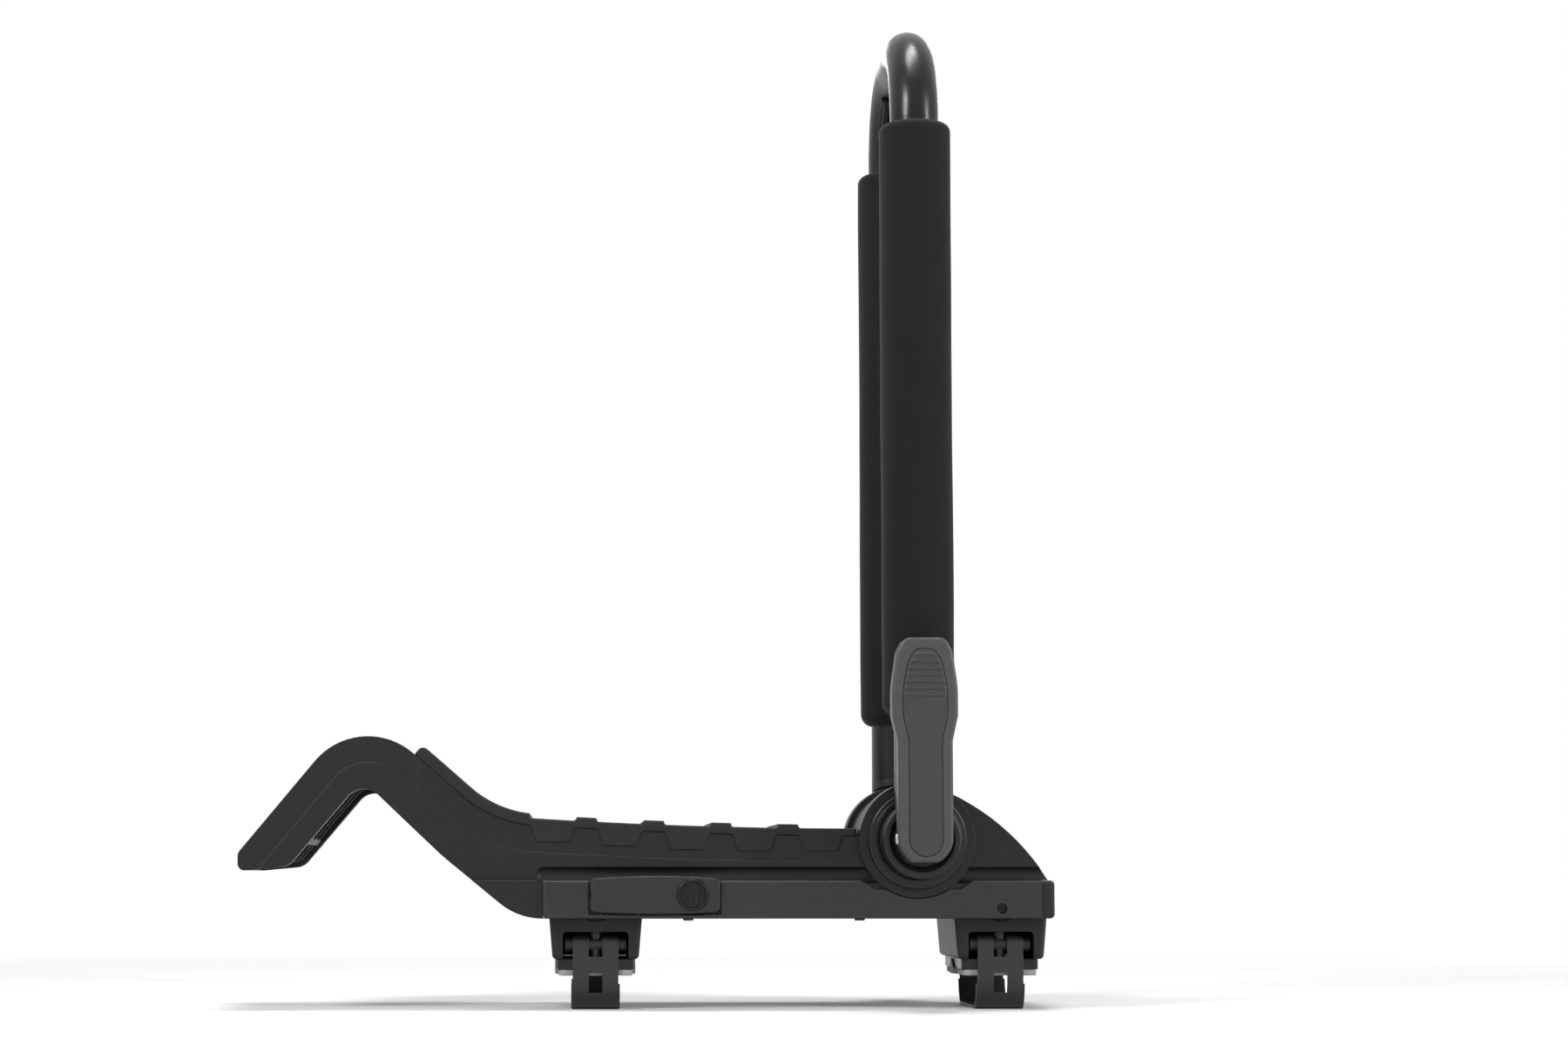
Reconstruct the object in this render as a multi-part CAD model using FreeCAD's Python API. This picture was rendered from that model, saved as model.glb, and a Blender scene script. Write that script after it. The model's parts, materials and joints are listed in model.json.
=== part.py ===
# Folding J-shaped boat carrier for a roof crossbar: a moulded saddle with a hooked outrigger,
# a folding U-shaped arm with two foam sleeves, a cam lever on its pivot, a lower rail with a
# locking cover, and two strap clamps that hold the crossbar.
# Millimetres. Origin: centre of the left clamp's crossbar seat. +X runs along the crossbar
# towards the folding arm, +Y away from the lever side, +Z up.
import FreeCAD, Part
import math
import os

V = FreeCAD.Vector
X_AXIS = V(1, 0, 0)
Y_AXIS = V(0, 1, 0)
Z_AXIS = V(0, 0, 1)

# Clearances
RUN_FIT = 0.05          # radial, turning shafts and threads
SLIDE_GAP = 0.3         # between pieces of different bodies
LOOSE_GAP = 0.6         # screw shanks in plain holes
PRESS_GAP = 0.05        # pieces of one body around each other

# Crossbar seat
BAR_PAD_T = 4.0
CLAMP_PITCH = 266.5     # between the two clamps

# Clamp housing
HOUSING_TOP_HALF = 30.5
HOUSING_FOOT_HALF = 28.3
HOUSING_DEPTH = 100.0
HOUSING_FOOT_Z = 10.9
HOUSING_END_WALL = 3.0
HOUSING_TOP_WALL = 4.0
HOUSING_EDGE_R = 3.0
WINDOW_HALF = 21.6
WINDOW_TOP_Z = 28.9
WINDOW_CORNER_R = 3.0
MARK_HALF = 6.0         # chevron mark at the middle of the housing's upper edge
MARK_DROP = 1.9
MARK_DEPTH = 1.2
BLOCK_HALF = 25.3
BLOCK_END_GAP = 6.0     # block and pad are shorter than the housing at each end
BAR_PAD_HALF = 24.2
BAR_LUG_W = 9.0
BAR_LUG_T = 1.6
STRAP_W = 32.0
STRAP_T = 1.6
STRAP_DROP = 22.0       # lowest point below the bar seat
STRAP_WAIST = 1.0       # how much narrower each side of the strap is above its step
STRAP_SLOT_W = 9.0
STRAP_SLOT_TOP_Z = 12.4
STRAP_LOWER_SLOT_Z0 = -11.2
STRAP_LOWER_SLOT_Z1 = 1.8
STRAP_NOTCH_R = 1.6
STRAP_UP = 3.0          # tightening travel
STRAP_DOWN = 4.0        # loosening travel
NUT_R = 5.0             # barrel nut
NUT_Z = 20.7
NUT_LENGTH = 41.0
BOLT_R = 4.0
BOLT_PITCH = 1.25
BOLT_HEAD_R = 6.5
BOLT_HEAD_H = 8.0
BOLT_KEY_AF = 6.0
THRUST_WASHER_R = 8.5
THRUST_WASHER_T = 1.6
ANCHOR_R = 4.0
ANCHOR_HEAD_R = 7.0
ANCHOR_HEAD_T = 2.4

# Rail
RAIL_BOTTOM_Z = 37.6
RAIL_HEIGHT = 24.7
RAIL_HALF_DEPTH = 62.0
RAIL_WALL = 2.0
RAIL_FLOOR = 2.4
RAIL_LEFT_X = -34.0
RAIL_PAST_CLAMP = 25.8
RAIL_RIGHT_X = CLAMP_PITCH + RAIL_PAST_CLAMP
RAIL_EDGE_R = 1.2
KEY_HOLE_R = 3.75
KEY_HOLE_Z = 44.1
KEY_HOLE_SHIFT = -1.0   # from the right clamp's centre
DRUM_NOTCH_HALF = 37.0  # the tray's upper edge slopes down to the hub drum
DRUM_NOTCH_FOOT_HALF = 27.5
DRUM_NOTCH_DEPTH = 6.0
DRUM_NOTCH_R = 5.0
CAP_LENGTH = 8.1
CAP_CORNER_R = 3.0
CAP_PLUG = 9.0
RAIL_SCREW_XS = (61.0, 174.0)
RAIL_SCREW_Y = 44.0
RAIL_SCREW_R = 2.0
RAIL_SCREW_HEAD_R = 3.5
RAIL_SCREW_HEAD_T = 1.5
RAIL_SCREW_LENGTH = 16.0
BOSS_R = 5.6
HOUSING_SCREW_R = 3.0
HOUSING_SCREW_HEAD_R = 5.0
HOUSING_SCREW_HEAD_T = 2.6
HOUSING_SCREW_Y = 24.0

# Saddle body
HOOK_HALF_DEPTH = 59.0
WAIST_HALF_DEPTH = 54.5
WAIST_START_X = -118.0
WAIST_END_X = -78.0
BAND_STEP = 1.0         # the lower band of each side stands proud of the upper band
BAND_DROP = 17.0        # height of the upper band
COVE_R = 6.0            # hollow moulding along each side
COVE_DEPTH = 2.5
COVE_RISE = 4.2
SHELL_WALL = 4.0
RIB_T = 2.5
HOOK_RIB_XS = (-190.0, -150.0, -100.0)
SADDLE_RIB_XS = (-40.0, 28.0, 100.0, 150.0)
RIB_RECESS = 3.0        # how far the ribs stay inside the body's lower edge
BODY_IN_RAIL_GAP = 0.4
TOE_RIGHT_X = RAIL_LEFT_X - 0.3
TOE_LEFT_X = -62.0
# Corners of the side outline (x, z, radius), hook tip first, then along the top
HOOK_TIP = ((-233.8, 68.6, 4.5), (-233.8, 80.6, 6.0))
HOOK_CREST = (-154.6, 176.1, 45.0)
SADDLE_HEEL = (-66.9, 99.8, 80.0)
SADDLE_MID = (74.0, 91.6, 3500.0)
SADDLE_END = (190.0, 91.6, 0.0)
FAIRING_CORNER = (CLAMP_PITCH + 5.5, 101.2, 150.0)
FAIRING_END_X = RAIL_RIGHT_X + 4.9
HOOK_HOLLOW_CREST = (-153.1, 128.5, 13.5)
HOOK_HOLLOW_SLOPE = (-100.0, 78.1, 150.0)
HOOK_HOLLOW_FOOT = (-50.5, RAIL_BOTTOM_Z, 44.0)
HOOK_TIP_HEEL = (-201.0, 71.6, 12.0)

# Rubber saddle pad
PAD_T = 5.0
PAD_HEEL_T = 8.0
PAD_RIB_H = 2.5
PAD_END_R = 4.0         # rounding of its upper end
PAD_START = (-119.0, 145.2)
PAD_HEEL_END_X = -43.3
PAD_END_X = 171.5
PAD_RIB_W = 13.6
PAD_RIB_PITCH = 44.1
PAD_RIB_FIRST_X = -6.0
PAD_RIB_COUNT = 4
PAD_SIDE_T = 1.0
FLAP_DROP = 10.4
FLAP_TOP_W = 30.4
FLAP_FOOT_W = 22.8
FLAP_COUNT = 5

# Pivot, hub and folding arm
PIVOT_X = 210.5
PIVOT_Z = 89.0
DRUM_R = 38.0
DRUM_WAIST_R = 34.0
DRUM_CHEEK_IN = 44.0
DRUM_OUT = 61.5
HUB_RING_R = 32.3
HUB_RING_T = 4.1
HUB_RING_LIP_R = 29.0
HUB_RING_LIP_T = 0.9
FRICTION_DISC_R = 24.0
FRICTION_DISC_T = 1.0
SLEEVE_R = 10.0
ROD_R = 6.0
LEG_SPREAD = 144.0      # between the centre lines of the two legs
TUBE_R = 16.0
TUBE_WALL = 2.0
CROWN_RISE = 533.4      # pivot to the crown's centre line
CROWN_BEND_R = 57.0
KNUCKLE_R = 25.4
KNUCKLE_OUT = 90.0
KNUCKLE_RIM_R = 21.3
KNUCKLE_BOWL_R = 18.3
KNUCKLE_TOP = 43.0      # above the pivot
SPIGOT_LENGTH = 28.0
SPIGOT_WALL = 3.0
RIVET_R = 2.4
RIVET_HEAD_R = 4.2
RIVET_HEAD_T = 1.1
FOAM_R = 23.5
FOAM_END_R = 7.0
FOAM_START = 80.8       # above the pivot
FOAM_TO_CROWN = 61.1     # from its upper end up to the crown's centre line

# Cam lever
SEAT_Y = 83.5           # face that the cam bears on, outward from the middle
SEAT_WASHER_T = 1.5
SEAT_WASHER_R = 17.9
CAM_R_OPEN = 16.3
CAM_RISE = 1.5
CAM_SWING = 90.0        # degrees from shut to open
CAM_HALF = 11.0
LEVER_FRONT_Y = 111.0
LEVER_BACK_Y = 97.0
LEVER_EDGE_R = 2.2
LEVER_SHANK_HALF = 17.6
LEVER_END_RISE = 1.0    # the round lower end's centre above the pivot
LEVER_HEIGHT = 129.2    # pivot to the top of the grip
LEVER_WALL = 2.6
LEVER_RIB_T = 1.8
LEVER_RIB_RISES = (44.0, 64.0, 98.0)
ROD_EYE_HALF = 6.5
ROD_EYE_WALL = 2.7
CROSS_PIN_R = 3.7
CROSS_PIN_PROUD = 1.2   # on the left; its right end lies just inside the lever
CROSS_PIN_SUNK = 0.6
INSERT_T = 1.0
INSERT_PROUD = 0.3
INSERT_GAP = 0.5
GRIP_RIB_COUNT = 8
GRIP_RIB_PITCH = 4.28
GRIP_RIB_FIRST = 92.5   # above the pivot
GRIP_RIB_W = 1.9
GRIP_RIB_H = 0.7
GRIP_RIB_HALF = 13.6
END_NUT_AF = 19.0
END_NUT_H = 10.0
END_WASHER_R = 14.0
END_WASHER_T = 2.0
THREAD_PAST_NUT = 3.0

# Locking cover
COVER_X0 = -4.1
COVER_X1 = 81.1
COVER_Z0 = 42.3
COVER_Z1 = 63.8
COVER_BULGE = 1.6
COVER_FRONT_Y = 67.7
COVER_BARREL_R = 3.7
COVER_WALL = 2.0
COVER_CORNER_R = 4.0
COVER_GAP = 0.8
COVER_SWING = 100.0     # degrees from shut to open
HINGE_PIN_R = 1.2
HINGE_LUG_R = 2.25
HINGE_LUG_H = 6.0
LOCK_X = 63.2
LOCK_Z = 53.1
BEZEL_R = 10.3
BEZEL_PROUD = 1.1
PLUG_R = 8.2
PLUG_DISC_T = 3.4
PLUG_PROUD = 1.6        # of its grip bar
PLUG_RECESS = 0.8
PLUG_GRIP_W = 4.3
PLUG_GRIP_L = 14.6
LOCK_BARREL_R = 6.0
TONGUE_HALF = 8.0
TONGUE_W = 5.0
TONGUE_T = 2.0

# Strap keeper on the rear bend of the arm
KEEPER_T = 2.6
KEEPER_HALF_W = 11.0    # narrower than the tube, so that it hides inside the bend
KEEPER_SLOT_W = 3.2
KEEPER_FROM = 24.0      # degrees along the bend, from the leg side
KEEPER_TO = 70.0


def box(x0, x1, y0, y1, z0, z1):
    return Part.makeBox(x1 - x0, y1 - y0, z1 - z0, V(x0, y0, z0))


def rod(r, start, axis, length):
    """A round bar from start along axis."""
    return Part.makeCylinder(r, length, V(*start), axis)


def ring(r_out, r_in, start, axis, length):
    return rod(r_out, start, axis, length).cut(rod(r_in, start, axis, length))


def hex_bar(across_flats, start, axis, length):
    """A hexagonal bar from start along Y or Z."""
    r = across_flats / math.sqrt(3)
    corners = []
    for k in range(7):
        a = math.radians(60 * k)
        if axis.y:
            corners.append(V(start[0] + r * math.cos(a), start[1], start[2] + r * math.sin(a)))
        else:
            corners.append(V(start[0] + r * math.cos(a), start[1] + r * math.sin(a), start[2]))
    return Part.Face(Part.makePolygon(corners)).extrude(axis * length)


def fuse(shapes):
    whole = shapes[0]
    for shape in shapes[1:]:
        whole = whole.fuse(shape)
    return whole.removeSplitter()


def cut(shape, tools):
    for tool in tools:
        shape = shape.cut(tool)
    return shape


def mirror_y(shape):
    return shape.mirror(V(0, 0, 0), Y_AXIS)


def both_sides(shape):
    return shape.fuse(mirror_y(shape))


def arc_ends(before, corner, after, r):
    """Where an arc of radius r leaves the two straight runs at a corner, and its middle point."""
    to_before = (before - corner).normalize()
    to_after = (after - corner).normalize()
    half = to_before.getAngle(to_after) / 2
    reach = r / math.tan(half)
    bisector = (to_before + to_after).normalize()
    middle = corner + bisector * (r / math.sin(half) - r)
    return corner + to_before * reach, middle, corner + to_after * reach


def rounded_edges(points, closed):
    """Edges through (x, z, radius) corners in the XZ plane, straight runs joined by arcs."""
    n = len(points)
    at = [V(p[0], 0, p[1]) for p in points]
    starts = []
    for k in range(n):
        r = points[k][2]
        if r <= 0 or (not closed and k in (0, n - 1)):
            starts.append((at[k], None, at[k]))
        else:
            starts.append(arc_ends(at[k - 1], at[k], at[(k + 1) % n], r))
    edges = []
    for k in range(n):
        first, middle, last = starts[k]
        if middle is not None:
            edges.append(Part.Arc(first, middle, last).toShape())
        if closed or k < n - 1:
            after = starts[(k + 1) % n][0]
            if (after - last).Length > 1e-6:
                edges.append(Part.makeLine(last, after))
    return edges


def plate_xz(points, y0, y1):
    """A closed rounded outline in the XZ plane, thick from y0 to y1."""
    face = Part.Face(Part.Wire(rounded_edges(points, True)))
    face.translate(V(0, y0, 0))
    return face.extrude(V(0, y1 - y0, 0))


def offset_path(points, d):
    """The open path (x, z, radius), drawn left to right, moved d to its upper side."""
    out = []
    n = len(points)
    for k in range(n):
        x, z, r = points[k]
        here = V(x, 0, z)
        runs = []
        if k > 0:
            runs.append((here - V(points[k - 1][0], 0, points[k - 1][1])).normalize())
        if k < n - 1:
            runs.append((V(points[k + 1][0], 0, points[k + 1][1]) - here).normalize())
        normals = [V(-t.z, 0, t.x) for t in runs]
        if len(runs) == 1:
            out.append((x + normals[0].x * d, z + normals[0].z * d, 0.0))
            continue
        both = (normals[0] + normals[1]).normalize()
        reach = d / both.dot(normals[0])
        turn = runs[0].x * runs[1].z - runs[0].z * runs[1].x
        radius = 0.0
        if r > 0:
            radius = max(r + (d if turn < 0 else -d), 0.5)
        out.append((x + both.x * reach, z + both.z * reach, radius))
    return out


def top_path():
    """The hook and saddle's upper outline, from the tip to inside the hub drum."""
    drum_in = (PIVOT_X - 6.0, PIVOT_Z + 27.0, 0.0)
    return [HOOK_TIP[1], HOOK_CREST, SADDLE_HEEL, SADDLE_MID, SADDLE_END, drum_in]


def fairing_path():
    a = math.radians(62.0)
    start = (PIVOT_X + (DRUM_R - 0.4) * math.cos(a), PIVOT_Z + (DRUM_R - 0.4) * math.sin(a), 0.0)
    end = (FAIRING_END_X, RAIL_BOTTOM_Z + RAIL_HEIGHT + BODY_IN_RAIL_GAP, 0.0)
    return [start, FAIRING_CORNER, end]


def bottom_path():
    """From the right end of the body, left along the rail and under the hook, to the tip."""
    seat_z = RAIL_BOTTOM_Z + RAIL_FLOOR + BODY_IN_RAIL_GAP
    right_x = RAIL_RIGHT_X - BODY_IN_RAIL_GAP
    shoulder_z = RAIL_BOTTOM_Z + RAIL_HEIGHT + BODY_IN_RAIL_GAP
    return [(right_x, shoulder_z, 0.0), (right_x, seat_z, 0.0), (TOE_RIGHT_X, seat_z, 0.0),
            (TOE_RIGHT_X, RAIL_BOTTOM_Z, 0.0), HOOK_HOLLOW_FOOT, HOOK_HOLLOW_SLOPE,
            HOOK_HOLLOW_CREST, HOOK_TIP_HEEL, HOOK_TIP[0]]


def body_outline():
    return top_path() + fairing_path() + bottom_path()


def saddle_z(x):
    """Height of the saddle's upper edge over the rail."""
    sink = (SADDLE_MID[0] - x) ** 2 / (2 * SADDLE_MID[2]) if x < SADDLE_MID[0] else 0.0
    slope = (SADDLE_HEEL[1] - SADDLE_MID[1]) / (SADDLE_MID[0] - SADDLE_HEEL[0])
    on_chord = SADDLE_MID[1] + max(SADDLE_MID[0] - x, 0.0) * slope
    return max(on_chord, SADDLE_MID[1] + sink)


def pivot_cylinder(r, y0, y1):
    return rod(r, (PIVOT_X, y0, PIVOT_Z), Y_AXIS, y1 - y0)


def waist_cutter():
    """What narrows the body beside the saddle, so that the folded arm's legs pass it."""
    deep = HOOK_HALF_DEPTH + 5.0
    corners = [V(WAIST_START_X, deep, 0), V(WAIST_START_X, HOOK_HALF_DEPTH, 0),
               V(WAIST_END_X, WAIST_HALF_DEPTH, 0), V(FAIRING_END_X + 20.0, WAIST_HALF_DEPTH, 0),
               V(FAIRING_END_X + 20.0, deep, 0), V(WAIST_START_X, deep, 0)]
    wedge = Part.Face(Part.makePolygon(corners)).extrude(V(0, 0, 300))
    skirt_top = RAIL_BOTTOM_Z + RAIL_HEIGHT + 0.2
    keep_skirt = box(WAIST_START_X - 5, FAIRING_END_X + 25, 0, deep + 5, -5, skirt_top)
    return wedge.cut(keep_skirt)


def cove():
    """Hollow moulding along the front side, just above the tray."""
    y = -(WAIST_HALF_DEPTH + COVE_R - COVE_DEPTH)
    z = RAIL_BOTTOM_Z + RAIL_HEIGHT + COVE_RISE
    bar = rod(COVE_R, (TOE_RIGHT_X, y, z), X_AXIS, FAIRING_END_X + 10.0 - TOE_RIGHT_X)
    return bar.fuse(Part.makeSphere(COVE_R, V(TOE_RIGHT_X, y, z)))


def make_saddle_shell():
    """Moulded body: hook, saddle, hub drum and fairing, hollow and ribbed underneath."""
    half = HOOK_HALF_DEPTH
    body = plate_xz(body_outline(), -half, half)
    body = cut(body, [waist_cutter(), mirror_y(waist_cutter())])
    # The upper band of each side is set back from the lower band
    band = top_path()[:5]
    low = offset_path(band, -BAND_DROP)
    high = offset_path(band, BAND_DROP)
    strip = plate_xz(high + low[::-1], -half - 5, half + 5)
    core_half = WAIST_HALF_DEPTH - BAND_STEP
    core = box(WAIST_END_X - 2, PIVOT_X, -core_half, core_half, -5, 300)
    hook_half = HOOK_HALF_DEPTH - BAND_STEP
    hook_core = box(-300, WAIST_START_X + 2, -hook_half, hook_half, -5, 300)
    taper = [V(WAIST_START_X, -hook_half, -5), V(WAIST_START_X, hook_half, -5),
             V(WAIST_END_X, core_half, -5), V(WAIST_END_X, -core_half, -5),
             V(WAIST_START_X, -hook_half, -5)]
    link = Part.Face(Part.makePolygon(taper)).extrude(V(0, 0, 305))
    body = body.cut(cut(strip, [core, hook_core, link]))
    body = body.cut(both_sides(cove()))
    # Hub drum: two cheeks with a narrower waist between them
    drum = pivot_cylinder(DRUM_WAIST_R, -DRUM_CHEEK_IN, DRUM_CHEEK_IN)
    cheek = pivot_cylinder(DRUM_R, DRUM_CHEEK_IN, DRUM_OUT)
    body = fuse([body, drum, both_sides(cheek)])
    # Hollow underside, walls left all round
    reach = RAIL_BOTTOM_Z - 30.0
    roof = offset_path([HOOK_TIP[1], HOOK_CREST, SADDLE_HEEL, SADDLE_MID,
                        (PIVOT_X + 30.0, SADDLE_MID[1], 0.0)], -SHELL_WALL)
    left_x = HOOK_TIP[0][0] + SHELL_WALL
    hollow_top = [(left_x, roof[0][1] - 3.0, 2.0)] + roof[1:4]
    hub_wall_x = PIVOT_X - DRUM_R - SHELL_WALL
    under = [(hub_wall_x, roof[3][1], 3.0), (hub_wall_x, reach, 0.0), (left_x, reach, 0.0)]
    inner_half = WAIST_HALF_DEPTH - BAND_STEP - SHELL_WALL
    hollow = plate_xz(hollow_top + under, -inner_half, inner_half)
    right = offset_path(fairing_path(), -SHELL_WALL)
    hub_right_x = PIVOT_X + DRUM_WAIST_R + SHELL_WALL
    end_x = RAIL_RIGHT_X - SHELL_WALL
    room_z = PIVOT_Z + 12.0
    corner = (end_x, right[2][1] - SHELL_WALL, 2.0)
    right_hollow = plate_xz([(hub_right_x, room_z, 3.0), corner, (end_x, reach, 0.0),
                             (hub_right_x, reach, 0.0)], -inner_half, inner_half)
    ribs = []
    for k in (-1, 0, 1):
        y = k * inner_half / 2
        ribs.append(box(left_x, WAIST_END_X, y - RIB_T / 2, y + RIB_T / 2, reach, 300))
    for x in HOOK_RIB_XS + SADDLE_RIB_XS:
        ribs.append(box(x - RIB_T / 2, x + RIB_T / 2, -inner_half, inner_half, reach, 300))
    kept_ribs = fuse(ribs).common(plate_xz(rib_room(), -half, half))
    body = body.cut(hollow.cut(kept_ribs))
    body = body.cut(right_hollow)
    # Bosses for the rail screws, and room for the bolts, the lock and the pivot sleeve
    bosses = []
    seat_z = RAIL_BOTTOM_Z + RAIL_FLOOR + BODY_IN_RAIL_GAP
    for x in RAIL_SCREW_XS:
        for y in (-RAIL_SCREW_Y, RAIL_SCREW_Y):
            bosses.append(rod(BOSS_R, (x, y, seat_z), Z_AXIS, SADDLE_MID[1] - SHELL_WALL / 2 - seat_z))
    body = fuse([body] + bosses)
    holes = [pivot_cylinder(SLEEVE_R + PRESS_GAP, -DRUM_OUT - 1, DRUM_OUT + 1)]
    for x in RAIL_SCREW_XS:
        for y in (-RAIL_SCREW_Y, RAIL_SCREW_Y):
            holes.append(rod(RAIL_SCREW_R + PRESS_GAP, (x, y, seat_z - 1), Z_AXIS, RAIL_SCREW_LENGTH))
    bolt_y = bolt_offset()
    for x in (0.0, CLAMP_PITCH):
        for y in (-bolt_y, -HOUSING_SCREW_Y, HOUSING_SCREW_Y):
            holes.append(rod(BOLT_HEAD_R + 3.0, (x, y, seat_z - 1), Z_AXIS, 17.0))
    holes.append(lock_way())
    return cut(body, holes)


def rib_room():
    """Room for the ribs: the outline, drawn in a little at the underside of the hook."""
    seat_z = RAIL_BOTTOM_Z + RAIL_FLOOR + BODY_IN_RAIL_GAP
    lifted = []
    for x, z, r in (HOOK_HOLLOW_FOOT, HOOK_HOLLOW_SLOPE, HOOK_HOLLOW_CREST, HOOK_TIP_HEEL, HOOK_TIP[0]):
        lifted.append((x, z + RIB_RECESS, r))
    straight = [(PIVOT_X, SADDLE_MID[1], 0.0), (PIVOT_X, seat_z, 0.0), (TOE_RIGHT_X, seat_z, 0.0),
                (TOE_RIGHT_X, RAIL_BOTTOM_Z + RIB_RECESS, 0.0)]
    return top_path()[:4] + straight + lifted


def bolt_offset():
    """Distance of the tension bolts from the middle, towards the front."""
    return HOUSING_DEPTH / 2 - HOUSING_END_WALL - SLIDE_GAP - STRAP_T - NUT_R


def lock_way():
    """Slot and bore in the body's front wall for the lock barrel and its tongue."""
    y0 = -HOOK_HALF_DEPTH - 1
    y1 = -WAIST_HALF_DEPTH + BAND_STEP + SHELL_WALL + 6.0
    bore = rod(LOCK_BARREL_R + 1.6, (LOCK_X + 0.6, y0, LOCK_Z), Y_AXIS, y1 - y0)
    slot = box(LOCK_X - TONGUE_W / 2 - 0.8, LOCK_X + TONGUE_W / 2 + 2.4, y0, y1,
               LOCK_Z - TONGUE_HALF - 0.8, LOCK_Z + TONGUE_HALF + 0.8)
    room = box(LOCK_X - TONGUE_HALF - 1.2, LOCK_X + TONGUE_HALF + 1.2,
               -WAIST_HALF_DEPTH + BAND_STEP + SHELL_WALL - 0.2, y1,
               LOCK_Z - TONGUE_HALF - 0.8, LOCK_Z + TONGUE_HALF + 0.8)
    return fuse([bore, slot, room])


def saddle_slab(path, d0, d1, half):
    """A layer that follows the saddle between two distances above it."""
    low = offset_path(path, d0)
    high = offset_path(path, d1)
    return plate_xz(high + low[::-1], -half, half)


def flap_centres():
    first = PAD_RIB_FIRST_X - PAD_RIB_PITCH / 2
    return [first + PAD_RIB_PITCH * k for k in range(FLAP_COUNT)]


def make_saddle_pad():
    """Rubber pad: thick on the heel slope, ribbed along the saddle, with flaps down both sides."""
    half = WAIST_HALF_DEPTH - BAND_STEP + PAD_SIDE_T
    heel_half = HOOK_HALF_DEPTH - BAND_STEP
    start = (PAD_START[0], PAD_START[1], 0.0)
    whole = [start, SADDLE_HEEL, SADDLE_MID, SADDLE_END]
    thin = saddle_slab(whole, 0.0, PAD_T, heel_half)
    thick = saddle_slab(whole, 0.0, PAD_HEEL_T, heel_half)
    across = [e for e in thick.Edges if e.BoundBox.YLength > heel_half]
    thick = thick.makeFillet(PAD_END_R, [max(across, key=lambda e: e.BoundBox.ZMax)])
    tall = saddle_slab(whole, 0.0, PAD_T + PAD_RIB_H, half)
    heel = thick.common(box(-300, PAD_HEEL_END_X, -100, 100, 0, 300))
    base = thin.common(box(PAD_HEEL_END_X - 1, PAD_END_X, -100, 100, 0, 300))
    ribs = []
    for k in range(PAD_RIB_COUNT):
        x = PAD_RIB_FIRST_X + k * PAD_RIB_PITCH
        ribs.append(tall.common(box(x - PAD_RIB_W / 2, x + PAD_RIB_W / 2, -half, half, 0, 300)))
    pad = fuse([heel, base] + ribs)
    # Narrowed with the body beside the saddle, and rounded at its upper end
    deep = heel_half + 5.0
    corners = [V(WAIST_START_X - 20, deep, 0), V(WAIST_START_X - 20, heel_half, 0),
               V(WAIST_START_X, heel_half, 0), V(WAIST_END_X, half, 0),
               V(PAD_END_X + 10, half, 0), V(PAD_END_X + 10, deep, 0),
               V(WAIST_START_X - 20, deep, 0)]
    side_cut = Part.Face(Part.makePolygon(corners)).extrude(V(0, 0, 300))
    pad = cut(pad, [side_cut, mirror_y(side_cut)])
    flaps = []
    y0 = WAIST_HALF_DEPTH - BAND_STEP
    for x in flap_centres():
        top_z = saddle_z(x) + PAD_T / 2
        foot_z = saddle_z(x) - FLAP_DROP
        outline = [(x - FLAP_TOP_W / 2, top_z, 0.0), (x + FLAP_TOP_W / 2, top_z, 0.0),
                   (x + FLAP_FOOT_W / 2, foot_z, 3.0), (x - FLAP_FOOT_W / 2, foot_z, 3.0)]
        flaps.append(plate_xz(outline, y0, half))
    return fuse([pad, both_sides(fuse(flaps))])


def rail_section(y_half, z0, z1, x0, x1):
    return box(x0, x1, -y_half, y_half, z0, z1)


def clamp_xs():
    return (0.0, CLAMP_PITCH)


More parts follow.
